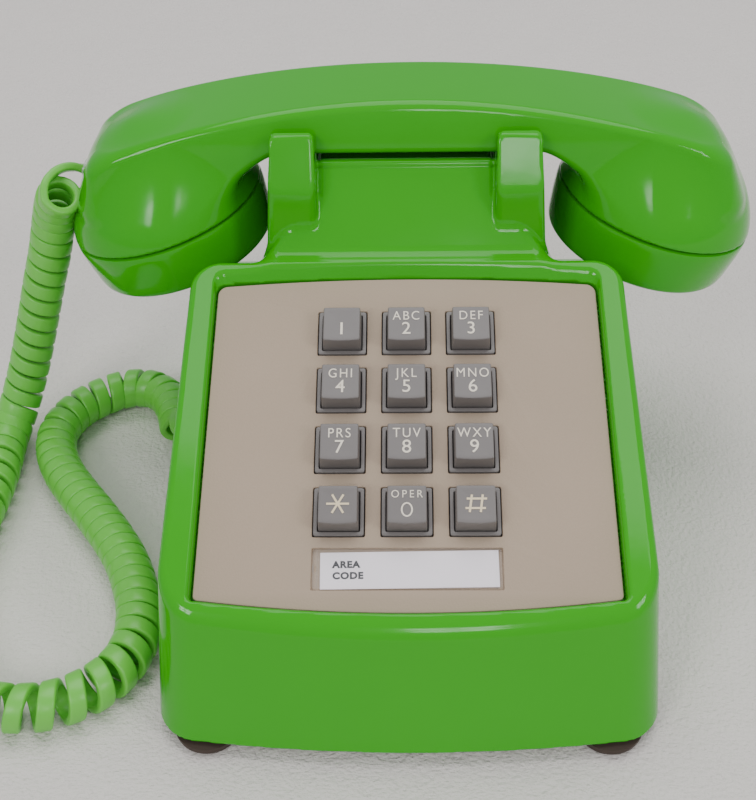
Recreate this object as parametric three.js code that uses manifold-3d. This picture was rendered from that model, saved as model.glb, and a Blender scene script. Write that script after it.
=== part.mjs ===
// Push-button desk telephone with a coiled handset cord. Millimetres, +X right, +Y back, +Z up.
// The origin is on the table, in the middle of the telephone without its cord.
import * as THREE from 'three';
import { mergeVertices } from 'three/addons/utils/BufferGeometryUtils.js';
import Module from 'manifold-3d';

const wasm = await Module();
wasm.setup();

// ---------- driving dimensions ----------
const GAP = 0.3;                   // clearance between pieces that touch
const WALL = 2.6;                  // moulded wall of the housing
const FOOT_H = 3.4;                // feet lift the housing off the table
const FOOT = { x: 57, frontY: -90.4, rearY: 84 };
const BODY_Z0 = 4.5;               // lower edge of the housing
const BODY_FRONT = -102.2;         // front lower edge
const BODY_REAR = 102.2;
const BODY_HALF_W = 71.4;          // half width at the lower edge
const SIDE_DRAFT = 0.067;          // how much the sides lean in per millimetre of height
const FRONT_LEAN = 0.27;            // how much the front leans back per millimetre of height
const REAR_LEAN = 0.06;
const FRONT_BOW = 4;               // the front edge bulges forward in the middle
const CORNER_R = 11;

const SLOPE = THREE.MathUtils.degToRad(25.2);   // tilt of the faceplate
const KEYPAD = new THREE.Vector3(0, -33, 68);   // keypad centre, on the faceplate's surface
const KEY_PITCH = 19.05;
const RIM_UP = 2.4;                // the rim stands this far above the faceplate
const RIM_HALF_W = 66.6;           // at the upper edge of the rim
const RIM_SPREAD = 0.03;           // how much the rim widens per millimetre down the slope
const RIM_TOP = 53.2;              // upper edge of the rim, measured up the slope from the keypad centre
const RIM_CORNER_R = 9;
const PLATE_T = 2;
const PLATE = { topHalf: 57.2, botHalf: 58.4, top: 45.2, bot: -54.3, topBow: 2.2, botBow: 3.5 };

const AXIS_Y = 53.5;               // middle plane of the handset and the cradle
const DECK = [[22, 76], [40, 66], [86, 47], [96, 40], [100, 32]];   // shoulders behind the rim, Y and Z
const NECK_HALF_W = 43.3;
const EAR = { inner: 27.7, outer: 41.1, front: 22, top: 125.2, back: 31, backTop: 126.6 };
const REAR_DROP = 2.6;             // the rear prongs are lower than the front ones
const RIDGE = [35, 116];           // lip in front of the finger room, Y and Z
const SEAT_Z = 117.2;              // where the handle of the handset rests
const TROUGH_Z = 110;              // finger room under the middle of the handle
const PLUNGER_X = 34.4;
const PLUNGER_W = 9;
const PLUNGER_TRAVEL = 7;

const HANDSET_X = 1.2;             // the handset lies a little to the right in its cradle
const CUP = { x: 80, z: 90.75, r: 32.75, tilt: 0.283 };   // seam circle of each handset cup
const CAP_DEPTH = 17.2;
const CAP_FACE_R = 30.5;
const HANDLE = { topHalf: 16, lowHalf: 20, under: 117.5, crown: 133 };
const HANDSET_JACK = { x: -103.4, z: 101.5, w: 11, h: 12, depth: 10 };

const WELL_W = 14.7;
const WELL_H = 14.85;
const KEY_W = 11.4;
const KEY_UP = 6.2;                // keys stand this far above the faceplate
const CARD = { half: 26.3, y0: -51.3, y1: -39.2 };    // bed of the number card, on the slope

const BOSS_X = 54;                 // screw bosses of the housing
const BOSS_Y = 2;
const JACK = { y: 25, z: 14, w: 12, h: 13 };          // handset cord socket, left side
const LINE_JACK = { x: -30, z: 22, w: 15, h: 14 };    // line cord socket, back
const LEVER_PIVOT = { y: 20, z: 74 };                 // pin of the line switch
const GONG = { x: 33, y: 56, r: 24, z: 17 };
const CLAPPER_PIVOT = { x: 0, y: 24 };
const WHEEL = { x: 56, y: -34, z: 13, r: 9.8 };       // volume wheel

const CORD_W = 5.6;                // flat cord
const CORD_T = 2.7;
const COIL_R = 7.2;                // outer radius of the coiled cord

// ---------- materials ----------
const plastic = (hex, roughness = 0.25) => new THREE.MeshStandardMaterial({ color: hex, roughness });
const metal = (hex, roughness = 0.35) => (
  new THREE.MeshStandardMaterial({ color: hex, roughness, metalness: 1 })
);
const GREEN = plastic(0x4ba528, 0.15);
const TAUPE = plastic(0xaca094, 0.6);
const GREY = plastic(0x767476, 0.5);
const DARK = plastic(0x2c2a2a, 0.5);
const BROWN_RUBBER = plastic(0x503c32, 0.8);
const CLEAR = new THREE.MeshStandardMaterial({
  color: 0xe8eef0, roughness: 0.05, transparent: true, opacity: 0.4,
});
const CARD_WHITE = plastic(0xe6e2e4, 0.7);
const BOARD = plastic(0x8a5a2a, 0.6);
const STEEL = metal(0xb4b6b8);
const BRASS = metal(0xc8a14a, 0.25);
const COPPER = metal(0xb06a3a, 0.4);

// ---------- solids ----------
function solid(geometry) {
  const bare = geometry.clone();
  bare.deleteAttribute('normal');
  bare.deleteAttribute('uv');
  const merged = mergeVertices(bare, 1e-4);
  return new wasm.Manifold(new wasm.Mesh({
    numProp: 3,
    vertProperties: new Float32Array(merged.attributes.position.array),
    triVerts: new Uint32Array(merged.index.array),
  }));
}

function geometryOf(manifold) {
  const mesh = manifold.getMesh();
  const geometry = new THREE.BufferGeometry();
  geometry.setAttribute('position', new THREE.BufferAttribute(mesh.vertProperties, 3));
  geometry.setIndex(new THREE.BufferAttribute(mesh.triVerts, 1));
  geometry.computeVertexNormals();
  return geometry;
}

function box(x0, x1, y0, y1, z0, z1) {
  const geometry = new THREE.BoxGeometry(x1 - x0, y1 - y0, z1 - z0);
  return solid(geometry.translate((x0 + x1) / 2, (y0 + y1) / 2, (z0 + z1) / 2));
}

// A round bar from point a to point b; r2 is its radius at b.
function bar(a, b, r, sides = 20, r2 = r) {
  const from = new THREE.Vector3(...a);
  const to = new THREE.Vector3(...b);
  const along = to.clone().sub(from);
  const geometry = new THREE.CylinderGeometry(r2, r, along.length(), sides);
  const upright = new THREE.Vector3(0, 1, 0);
  const turn = new THREE.Quaternion().setFromUnitVectors(upright, along.clone().normalize());
  geometry.applyQuaternion(turn);
  const middle = from.add(to).multiplyScalar(0.5);
  return solid(geometry.translate(middle.x, middle.y, middle.z));
}

function ball(x, y, z, r) {
  return solid(new THREE.SphereGeometry(r, 16, 10).translate(x, y, z));
}

const shapeOf = (points) => new THREE.Shape(points.map(([u, v]) => new THREE.Vector2(u, v)));

// Outline in X and Y, standing from z0 to z1.
function standing(points, z0, z1) {
  const geometry = new THREE.ExtrudeGeometry(shapeOf(points), { depth: z1 - z0, bevelEnabled: false });
  return geometry.translate(0, 0, z0);
}

// Outline in Y and Z, running from x0 to x1.
function crosswise(points, x0, x1) {
  const geometry = new THREE.ExtrudeGeometry(shapeOf(points), { depth: x1 - x0, bevelEnabled: false });
  geometry.rotateX(Math.PI / 2).rotateZ(Math.PI / 2);
  return solid(geometry.translate(x0, 0, 0));
}

// Outline in X and Z, running from y0 to y1.
function frontal(points, y0, y1) {
  const geometry = new THREE.ExtrudeGeometry(shapeOf(points), { depth: y1 - y0, bevelEnabled: false });
  geometry.rotateX(Math.PI / 2);
  return solid(geometry.translate(0, y1, 0));
}

function join(...solids) {
  return solids.reduce((sum, next) => sum.add(next));
}

function cut(base, ...tools) {
  return tools.reduce((rest, tool) => rest.subtract(tool), base);
}

// A turned piece from a closed profile of radius and height pairs, given in either direction.
function turned(profile, sides = 32) {
  const points = profile.map(([r, h]) => new THREE.Vector2(r, h));
  if (THREE.ShapeUtils.area(points) < 0) points.reverse();
  return solid(new THREE.LatheGeometry(points, sides));
}

// ---------- housing ----------
// Plan outline of the body with its bowed front, inset by a wall.
function bodyPlan(inset) {
  const half = BODY_HALF_W - inset;
  const front = BODY_FRONT + inset;
  const rear = BODY_REAR - inset;
  const r = CORNER_R - inset;
  const points = [];
  const arc = (cx, cy, start) => {
    for (let i = 0; i <= 5; i++) {
      const t = THREE.MathUtils.degToRad(start + 18 * i);
      points.push([cx + r * Math.cos(t), cy + r * Math.sin(t)]);
    }
  };
  arc(half - r, front + FRONT_BOW + r, -90);
  arc(half - r, rear - r, 0);
  arc(r - half, rear - r, 90);
  arc(r - half, front + FRONT_BOW + r, 180);
  for (let i = 1; i < 8; i++) {
    const x = (half - r) * (i / 4 - 1);
    const u = x / (half - r);
    points.push([x, front + FRONT_BOW * u * u]);
  }
  return points;
}

// The plan outline drawn upwards, with the draft of the sides and the lean of the front.
function draftedBody(inset) {
  const top = 100;
  const geometry = standing(bodyPlan(inset), -2, top);
  const place = geometry.attributes.position;
  for (let i = 0; i < place.count; i++) {
    const z = place.getZ(i);
    const t = (place.getY(i) - BODY_FRONT) / (BODY_REAR - BODY_FRONT);
    const front = BODY_FRONT + FRONT_LEAN * (z - BODY_Z0);
    const rear = BODY_REAR - REAR_LEAN * (z - BODY_Z0);
    place.setX(i, place.getX(i) * (1 - (SIDE_DRAFT * (z - BODY_Z0)) / BODY_HALF_W));
    place.setY(i, front + t * (rear - front));
  }
  return solid(geometry);
}

const onSlope = (manifold) => manifold.rotate([THREE.MathUtils.radToDeg(SLOPE), 0, 0])
  .translate([KEYPAD.x, KEYPAD.y, KEYPAD.z]);

// Everything under the rim, cut square to the slope, with rounded upper corners.
function wedge(inset, up) {
  const half = RIM_HALF_W - inset;
  const top = RIM_TOP - inset;
  const r = RIM_CORNER_R - inset;
  const low = -160;
  const lowHalf = half + RIM_SPREAD * (top - low);
  const points = [[-lowHalf, low], [lowHalf, low]];
  [[half - r, 0], [r - half, 90]].forEach(([cx, start]) => {
    for (let i = 0; i <= 4; i++) {
      const t = THREE.MathUtils.degToRad(start + 22.5 * i);
      points.push([cx + r * Math.cos(t), top - r + r * Math.sin(t)]);
    }
  });
  const wide = points.map(([x, y]) => [x * 1.2, y]);
  const upper = solid(standing(points, -14, up));
  const lower = solid(standing(wide, -190, -13.9));
  return onSlope(upper.add(lower));
}

function shoulders(inset) {
  const slack = inset * 1.1;
  const profile = DECK.map(([y, z]) => [y - inset * 0.5, z - slack]);
  return crosswise([[-20, -2], [120, -2], [120, 28], ...profile.reverse(), [-20, 70 - slack]], -80, 80);
}

function neck(inset) {
  const side = crosswise([
    [4 + inset, 30], [4 + inset, 84 - inset], [15 + inset, 91 - inset],
    [RIDGE[0] - 1 + inset, RIDGE[1] - inset], [RIDGE[0] + inset, RIDGE[1] - inset],
    [RIDGE[0] + 2.5 + inset, TROUGH_Z - inset], [73 - inset, TROUGH_Z - inset], [75.5 - inset, 113 - inset],
    [85 - inset, 112 - inset], [85 - inset, 30],
  ], -60, 60);
  const half = NECK_HALF_W - inset;
  const crown = (flare) => [
    [-half - flare, 30], [half + flare, 30], [half + flare, 78 - inset], [half, 91.5 - inset],
    [half - 8, 101 - inset], [half - 16, 108 - inset], [half - 16, 120], [16 - half, 120],
    [16 - half, 108 - inset], [8 - half, 101 - inset], [-half, 91.5 - inset], [-half - flare, 78 - inset],
  ];
  return side.intersect(join(frontal(crown(0.01), 0, 100), frontal(crown(9), 0, EAR.front)));
}

// One side of the cradle: two prongs and the seat between them.
function ear(side, inset) {
  const rearOf = (y) => 2 * AXIS_Y - y;
  const profile = [
    [EAR.front + inset, 60], [EAR.front + inset - 0.5, EAR.top - 3],
    [EAR.front + 1.2 + inset, EAR.top - inset],
    [EAR.back - inset, EAR.backTop - inset], [EAR.back + 1.6 - inset, SEAT_Z - inset],
    [rearOf(EAR.back + 1.6) + inset, SEAT_Z - inset],
    [rearOf(EAR.back) + inset, EAR.backTop - REAR_DROP / 2 - inset],
    [rearOf(EAR.front + 1.2) - inset, EAR.top - REAR_DROP - inset],
    [rearOf(EAR.front) + 0.5 - inset, EAR.top - 3 - REAR_DROP],
    [rearOf(EAR.front) - inset, 60],
  ];
  const slab = crosswise(profile, 0, 60);
  const taper = frontal([
    [EAR.inner - 1 + inset, 60], [NECK_HALF_W + 1.4 - inset, 60], [NECK_HALF_W - inset, 91],
    [EAR.outer - inset, EAR.top - 4], [EAR.outer - inset, 140], [EAR.inner + inset, 140],
    [EAR.inner - 0.5 + inset, 91],
  ], 0, 110);
  const one = slab.intersect(taper);
  return side > 0 ? one : one.mirror([1, 0, 0]);
}

// Pocket in the back of the neck, where the fingers carry the telephone.
function fingerPocket(grow) {
  const floor = 73 - grow;
  return crosswise([
    [69 - grow, floor + 8], [74 - grow, floor], [130, floor], [130, 104 + grow], [72 - grow, 104 + grow],
    [69 - grow, 98 + grow],
  ], -25 - grow, 25 + grow);
}

function housing() {
  const under = box(-90, 90, -120, 120, -20, BODY_Z0);
  const shell = (inset) => join(
    draftedBody(inset).intersect(join(wedge(inset, RIM_UP - (inset > 0 ? 7 : 0)), shoulders(inset))),
    neck(inset),
  );
  const outer = cut(join(shell(0), ear(1, 0), ear(-1, 0)), under, fingerPocket(0));
  const hollow = cut(shell(WALL), fingerPocket(WALL));
  const plateSeat = onSlope(solid(standing(plateOutline(0.6), -PLATE_T - GAP, 10)));
  const window = onSlope(box(-50, 50, -46, 42, -12, 1));
  const plungerHoles = [1, -1].map((s) => join(
    column(s * PLUNGER_X, AXIS_Y, PLUNGER_W + 1, PLUNGER_W + 1, 90, 120),
    column(s * PLUNGER_X, AXIS_Y, 12.8, 12.8, 90, 100 + PLUNGER_TRAVEL + GAP),
  ));
  const jackHole = box(
    -80, -60, JACK.y - JACK.w / 2, JACK.y + JACK.w / 2,
    JACK.z - JACK.h / 2, JACK.z + JACK.h / 2,
  );
  const lineHole = box(
    LINE_JACK.x - LINE_JACK.w / 2, LINE_JACK.x + LINE_JACK.w / 2, 90, 110,
    LINE_JACK.z - LINE_JACK.h / 2, LINE_JACK.z + LINE_JACK.h / 2,
  );
  const shellSolid = cut(outer, hollow, plateSeat, window, ...plungerHoles, jackHole, lineHole);
  const bosses = [1, -1].map((s) => cut(
    join(bar([s * BOSS_X, BOSS_Y, 8], [s * BOSS_X, BOSS_Y, 66], 4.5, 16), bossRib(s)),
    bar([s * BOSS_X, BOSS_Y, 0], [s * BOSS_X, BOSS_Y, 30], 1.7, 12),
  ));
  return join(shellSolid, ...bosses.map((boss) => boss.intersect(shell(WALL / 2))));
}

// Rib from a screw boss to the side wall.
function bossRib(s) {
  const ends = [s * BOSS_X, s * 68];
  return box(Math.min(...ends), Math.max(...ends), BOSS_Y - 1, BOSS_Y + 1, 12, 60);
}

// ---------- base ----------
function baseplate() {
  const outline = bodyPlan(WALL + 1.2);
  const sheet = solid(standing(outline, FOOT_H + GAP, FOOT_H + GAP + 1.2));
  const lip = cut(
    solid(standing(bodyPlan(WALL + 1.2), FOOT_H + GAP, FOOT_H + GAP + 3)),
    solid(standing(bodyPlan(WALL + 2.6), FOOT_H + GAP - 1, FOOT_H + GAP + 4)),
  );
  const slot = box(WHEEL.x - 3, WHEEL.x + 3, WHEEL.y - 11, WHEEL.y + 11, 0, 12);
  const screwHoles = [1, -1].map((s) => bar([s * BOSS_X, BOSS_Y, 0], [s * BOSS_X, BOSS_Y, 12], 2.4, 16));
  return cut(join(sheet, lip), slot, ...screwHoles);
}

function foot(x, y) {
  const profile = [[0, 0], [8.4, 0], [9.4, 1.2], [9.7, FOOT_H], [0, FOOT_H]];
  return turned(profile, 24).rotate([90, 0, 0]).translate([x, y, 0]);
}

function housingScrew(s) {
  const head = bar([s * BOSS_X, BOSS_Y, 1.2], [s * BOSS_X, BOSS_Y, FOOT_H], 4.2, 18);
  const shank = bar([s * BOSS_X, BOSS_Y, 1.2], [s * BOSS_X, BOSS_Y, 24], 1.4, 12);
  const drive = box(s * BOSS_X - 3, s * BOSS_X + 3, BOSS_Y - 0.5, BOSS_Y + 0.5, 0, 2.2);
  return cut(join(head, shank), drive);
}

// ---------- faceplate and keypad, in the frame of the slope ----------
function plateOutline(grow) {
  const points = [];
  const r = 3 + grow;
  const top = PLATE.top + grow;
  const bot = PLATE.bot - grow;
  const edge = (half, y, bow, dir) => {
    for (let i = 0; i <= 8; i++) {
      const u = dir * (1 - i / 4);
      points.push([u * (half + grow - r * 0.6), y + bow * (1 - u * u)]);
    }
  };
  edge(PLATE.botHalf, bot, -PLATE.botBow, -1);
  points.push([PLATE.botHalf + grow, bot + r * 0.6]);
  points.push([PLATE.topHalf + grow, top - r * 0.6]);
  edge(PLATE.topHalf, top, PLATE.topBow, 1);
  points.push([-PLATE.topHalf - grow, top - r * 0.6]);
  points.push([-PLATE.botHalf - grow, bot + r * 0.6]);
  return points;
}

function keySpots() {
  const names = ['1', '2', '3', '4', '5', '6', '7', '8', '9', 'star', '0', 'hash'];
  return names.map((name, i) => ({
    name: `key_${name}`,
    x: ((i % 3) - 1) * KEY_PITCH,
    y: (1.5 - Math.floor(i / 3)) * KEY_PITCH,
  }));
}

const column = (x, y, w, h, z0, z1) => box(x - w / 2, x + w / 2, y - h / 2, y + h / 2, z0, z1);

function faceplate() {
  const sheet = solid(standing(plateOutline(0), -PLATE_T, 0));
  const wells = keySpots().map(({ x, y }) => column(x, y, WELL_W, WELL_H, -5, 5));
  const cardBed = box(-CARD.half, CARD.half, CARD.y0, CARD.y1, -1.5, 5);
  return cut(sheet, ...wells, cardBed);
}

const numberCard = () => box(-CARD.half + GAP, CARD.half - GAP, CARD.y0 + GAP, CARD.y1 - GAP, -1.2, -0.8);

function cardWindow() {
  const pane = box(-CARD.half + GAP, CARD.half - GAP, CARD.y0 + GAP, CARD.y1 - GAP, -0.5, 0.5);
  const nicks = [1, -1].map((s) => column(s * CARD.half, (CARD.y0 + CARD.y1) / 2, 2.4, 3, 0, 2));
  return cut(pane, ...nicks);
}

// Moulded tray under the faceplate; a square collar guides each key in its well.
function keypadFrame() {
  const tray = box(-31, 31, -39.5, 39.5, -9, -6.5);
  const skirt = cut(box(-31, 31, -39.5, 39.5, -15, -6.5), box(-29, 29, -37.5, 37.5, -20, -8));
  const collars = keySpots().map(({ x, y }) => column(x, y, WELL_W - 2 * GAP, WELL_H - 2 * GAP, -8, -GAP));
  const bores = keySpots().map(({ x, y }) => column(x, y, KEY_W + 0.9, KEY_W + 1.1, -12, 2));
  return cut(join(tray, skirt, ...collars), ...bores);
}

// Key top with its sides leaning in, a stem, and a flange under the tray that keeps it in.
function key(x, y) {
  const half = KEY_W / 2;
  const cap = crosswise([
    [-half, -5], [half + 0.1, -5], [half - 0.35, KEY_UP - 0.6], [half - 0.9, KEY_UP],
    [-half + 0.9, KEY_UP - 0.35], [-half + 0.25, KEY_UP - 0.9],
  ], -half, half);
  const taper = frontal([
    [-half, -6], [half, -6], [half - 0.15, KEY_UP - 0.8], [half - 0.6, KEY_UP + 1], [0.6 - half, KEY_UP + 1],
    [0.15 - half, KEY_UP - 0.8],
  ], -10, 10);
  const stem = column(0, 0, 7, 7, -10.5, -4);
  const flange = column(0, 0, 13.2, 13.2, -10.5, -9.4);
  return join(cap.intersect(taper), stem, flange).translate([x, y, 0]);
}

// Sheet of leaf springs, one tongue under each key.
function springSheet() {
  const sheet = box(-28.6, 28.6, -37, 37, -14.9, -14.4);
  const slots = keySpots().map(({ x, y }) => cut(
    column(x, y, 11, 11, -16, -13),
    column(x, y + 2, 8, 11.5, -17, -12),
  ));
  return cut(sheet, ...slots);
}

function contactBoard() {
  const board = box(-31, 31, -39.5, 39.5, -17, -15.4);
  const holes = [[1, 1], [1, -1], [-1, 1], [-1, -1]].map(([sx, sy]) => (
    bar([sx * 27, sy * 36, -20], [sx * 27, sy * 36, -10], 1.5, 12)
  ));
  return cut(board, ...holes);
}

function toneUnit() {
  const block = box(-22, 22, -30, 12, -27, -17.3);
  const coils = [-10, 10].map((x) => bar([x, 22, -26], [x, 22, -17.3], 7.5, 20));
  const bridge = box(-10, 10, 8, 22, -20, -17.3);
  return join(block, bridge, ...coils);
}

// ---------- line switch ----------
function plunger(s) {
  const x = s * PLUNGER_X;
  const w = PLUNGER_W / 2;
  const head = crosswise([
    [AXIS_Y - w, 100], [AXIS_Y + w, 100], [AXIS_Y + w, SEAT_Z - 1.4], [AXIS_Y + w - 1.5, SEAT_Z],
    [AXIS_Y - w + 1.5, SEAT_Z], [AXIS_Y - w, SEAT_Z - 1.4],
  ], x - w, x + w);
  const flange = box(x - 6, x + 6, AXIS_Y - 6, AXIS_Y + 6, 98.4, 100);
  const stem = box(x - 2, x + 2, AXIS_Y - 2, AXIS_Y + 2, 76.5, 100);
  return join(head, flange, stem);
}

// Fixed bracket that carries the lever's pin between two cheeks.
function switchBracket() {
  const { y, z } = LEVER_PIVOT;
  const sole = box(-22, 22, 26, 31, 5.2, 6.6);
  const posts = [1, -1].map((s) => box(s * 17 - 3, s * 17 + 3, 27, 28.8, 5.2, 56));
  const table = box(-20, 20, y - 6, 28.8, 54.6, 56);
  const cheeks = [1, -1].map((s) => box(s * 18.5 - 1, s * 18.5 + 1, y - 4, y + 4, 54.6, z + 4));
  const pinHoles = bar([-22, y, z], [22, y, z], 1.6, 14);
  return cut(join(sole, ...posts, table, ...cheeks), pinHoles);
}

const leverPin = () => bar([-21, LEVER_PIVOT.y, LEVER_PIVOT.z], [21, LEVER_PIVOT.y, LEVER_PIVOT.z], 1.3, 12);

function switchLever() {
  const { y, z } = LEVER_PIVOT;
  const hub = bar([-17, y, z], [17, y, z], 3.4, 18);
  const arm = box(-15, 15, y, AXIS_Y + 3, z - 0.7, z + 0.7);
  const wings = box(-38, 38, AXIS_Y - 4, AXIS_Y + 4, z - 0.7, z + 0.7);
  const tail = box(-3, 3, y - 10, y, z - 0.7, z + 0.7);
  return cut(join(hub, arm, wings, tail), bar([-30, y, z], [30, y, z], 1.6, 14));
}

function contactPile() {
  const stack = box(-7, 7, 15.5, 25, 56.3, 66);
  const blades = [0, 1, 2].map((i) => box(-5 + i * 4, -3 + i * 4, 2, 16, 58.5 + i * 2.4, 59 + i * 2.4));
  return join(stack, ...blades);
}

// ---------- ringer ----------
function ringerFrame() {
  const floor = box(-36, 36, 34, 66, 5.2, 6.6);
  const posts = [1, -1].map((s) => bar([s * GONG.x, GONG.y, 5.2], [s * GONG.x, GONG.y, 17.4], 3, 16));
  return join(floor, ...posts);
}

function gong(s) {
  const r = GONG.r;
  const profile = [
    [2.2, 13], [r - 8, 12.4], [r - 2.5, 9.4], [r, 0],
    [r - 1.3, 0], [r - 3.6, 8.4], [r - 8.5, 11], [2.2, 11.6], [2.2, 13],
  ];
  return turned(profile, 36).rotate([90, 0, 0]).translate([s * GONG.x, GONG.y, GONG.z - 5]);
}

function gongScrew(s) {
  const head = bar([s * GONG.x, GONG.y, GONG.z + 8.4], [s * GONG.x, GONG.y, GONG.z + 10.4], 3.6, 16);
  const shank = bar([s * GONG.x, GONG.y, GONG.z + 0.8], [s * GONG.x, GONG.y, GONG.z + 9], 1.8, 12);
  return join(head, shank);
}

function ringerCoil() {
  const core = bar([-17, 8, 16], [17, 8, 16], 3.5, 16);
  const winding = bar([-13, 8, 16], [13, 8, 16], 8.5, 24);
  const cheeks = [1, -1].map((s) => box(s * 15 - 2, s * 15 + 2, -2, 13, 5.2, 26));
  return join(core, winding, ...cheeks);
}

function clapper() {
  const hub = bar([0, CLAPPER_PIVOT.y, 14], [0, CLAPPER_PIVOT.y, 26], 3, 16);
  const armature = box(-12, 12, CLAPPER_PIVOT.y - 5, CLAPPER_PIVOT.y - 2, 15, 21);
  const rod = bar([0, CLAPPER_PIVOT.y, 18], [0, GONG.y - 2, 18], 1, 10);
  return join(hub, armature, rod, ball(0, GONG.y, 18, 4));
}

function clapperPost() {
  const sole = box(-7, 7, CLAPPER_PIVOT.y - 4.5, CLAPPER_PIVOT.y + 4.5, 6.9, 8.4);
  const pin = bar([0, CLAPPER_PIVOT.y, 6.9], [0, CLAPPER_PIVOT.y, 13.5], 2.4, 14);
  return join(sole, pin);
}

function volumeWheel() {
  const disc = bar([WHEEL.x - 2, WHEEL.y, WHEEL.z], [WHEEL.x + 2, WHEEL.y, WHEEL.z], WHEEL.r, 28);
  const hub = bar([WHEEL.x - 3.4, WHEEL.y, WHEEL.z], [WHEEL.x + 3.4, WHEEL.y, WHEEL.z], 4, 16);
  return cut(join(disc, hub), bar([WHEEL.x - 9, WHEEL.y, WHEEL.z], [WHEEL.x + 9, WHEEL.y, WHEEL.z], 1.6, 14));
}

function wheelBracket() {
  const cheeks = [1, -1].map((s) => (
    box(WHEEL.x + s * 4.8 - 0.7, WHEEL.x + s * 4.8 + 0.7, WHEEL.y - 4, WHEEL.y + 4, 5.2, WHEEL.z + 4)
  ));
  const pin = bar([WHEEL.x - 6, WHEEL.y, WHEEL.z], [WHEEL.x + 6, WHEEL.y, WHEEL.z], 1.3, 12);
  return join(pin, ...cheeks);
}

// ---------- network and sockets ----------
function networkBlock() {
  const can = box(-28, 28, -88, -40, 5.2, 28);
  const screws = [];
  for (let i = 0; i < 5; i++) {
    screws.push(bar([-20 + 10 * i, -80, 28], [-20 + 10 * i, -80, 30.4], 2.6, 12));
    screws.push(bar([-20 + 10 * i, -48, 28], [-20 + 10 * i, -48, 30.4], 2.6, 12));
  }
  return join(can, ...screws);
}

// A modular socket: a block with a stepped opening, mouth towards -X at x0.
function socket(x0, y, z, w, h, depth) {
  const block = box(x0, x0 + depth, y - w / 2, y + w / 2, z - h / 2, z + h / 2);
  const mouth = box(x0 - 1, x0 + depth - 2, y - 4.1, y + 4.1, z - 2, z + 4.4);
  const latchWay = box(x0 - 1, x0 + depth - 2.5, y - 1.9, y + 1.9, z - 3.8, z);
  return cut(block, mouth, latchWay);
}

const baseSocket = () => socket(-69.6, JACK.y, JACK.z, JACK.w - 2 * GAP, JACK.h - 2 * GAP, 15);

function lineSocket() {
  const w = LINE_JACK.w - 2 * GAP;
  const h = LINE_JACK.h - 2 * GAP;
  return socket(0, 0, 0, w, h, 16).rotate([0, 0, -90]).translate([LINE_JACK.x, 101, LINE_JACK.z]);
}

// ---------- handset ----------
// Puts a piece turned about +Y on the axis of a cup: +Y goes up into the cup, 0 is the seam.
function inCup(s, manifold) {
  return manifold.rotate([90, 0, 0]).rotate([0, s * THREE.MathUtils.radToDeg(CUP.tilt), 0])
    .translate([s * CUP.x, AXIS_Y, CUP.z]);
}

function handleBar() {
  const top = [];
  for (let i = 0; i <= 16; i++) {
    const x = 94.5 * (1 - i / 8);
    top.push([x, HANDLE.crown - 0.00172 * x * x - 6e-9 * x ** 4]);
  }
  const half = [
    [44, HANDLE.under], [51, 113], [58, 104], [74, 96], [88, 94], [107, 98], [104.5, 105], [101.5, 110.4],
    [98.2, 114.8],
  ];
  const mirrored = half.map(([x, z]) => [-x, z]).reverse();
  const profile = frontal([...mirrored, ...half, ...top], 0, 110);
  const section = crosswise([
    [AXIS_Y - 22, 90], [AXIS_Y + 22, 90], [AXIS_Y + HANDLE.lowHalf, 118], [AXIS_Y + HANDLE.topHalf, 132],
    [AXIS_Y + HANDLE.topHalf - 1.5, 134], [AXIS_Y - HANDLE.topHalf + 1.5, 134],
    [AXIS_Y - HANDLE.topHalf, 132], [AXIS_Y - HANDLE.lowHalf, 118],
  ], -100, 100);
  return profile.intersect(section);
}

function cupShell(s) {
  const { r } = CUP;
  return inCup(s, turned([
    [0, 30], [12, 26], [20, 20.5], [25, 14.5], [28.9, 8.5], [31.4, 4], [r, GAP], [0, GAP],
  ], 40));
}

function cupHollow(s) {
  return inCup(s, turned([[0, 22], [14, 19], [21, 13], [26, 7], [29.6, 3], [29.6, -4], [0, -4]], 32));
}

function handsetShell() {
  const wires = frontal([
    [-78, 100], [-50, 117.5], [-44, 120.5], [44, 120.5], [50, 117.5], [78, 100],
    [78, 108], [46, 127], [-46, 127], [-78, 108],
  ], AXIS_Y - 8, AXIS_Y + 8);
  const { x, z, w, h, depth } = HANDSET_JACK;
  const jackHole = box(x - 12, x + depth + GAP, AXIS_Y - w / 2, AXIS_Y + w / 2, z - h / 2, z + h / 2);
  return cut(join(handleBar(), cupShell(1), cupShell(-1)), cupHollow(1), cupHollow(-1), wires, jackHole);
}

function handsetSocket() {
  const { x, z, w, h, depth } = HANDSET_JACK;
  return socket(x, AXIS_Y, z, w - 2 * GAP, h - 2 * GAP, depth);
}

function cap(s, holes) {
  const d = CAP_DEPTH;
  const shell = turned([
    [0, 2.2 - d], [CAP_FACE_R - 4, 2.4 - d], [CUP.r - 2.8, -6], [CUP.r - 2.4, -GAP], [CUP.r, -GAP],
    [CUP.r - 0.3, -6], [CAP_FACE_R + 0.4, 2.5 - d], [CAP_FACE_R - 2.2, -d], [0, -d],
  ], 40);
  const drills = holes.map(([x, z]) => bar([x, -d - 2, z], [x, 4 - d, z], 1.3, 8));
  return inCup(s, cut(shell, ...drills));
}

function ringOfHoles(count, radius) {
  const holes = [];
  for (let i = 0; i < count; i++) {
    const t = (2 * Math.PI * i) / count;
    holes.push([radius * Math.cos(t), radius * Math.sin(t)]);
  }
  return holes;
}

const transmitterCap = () => cap(-1, [[0, 0], ...ringOfHoles(6, 6), ...ringOfHoles(12, 12)]);
const receiverCap = () => cap(1, [[0, 0], ...ringOfHoles(6, 5)]);

function transmitter() {
  return inCup(-1, turned([[0, -3], [22, -3], [25, -6], [25, -10], [17, -14.2], [0, -14.2]], 32));
}

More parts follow.
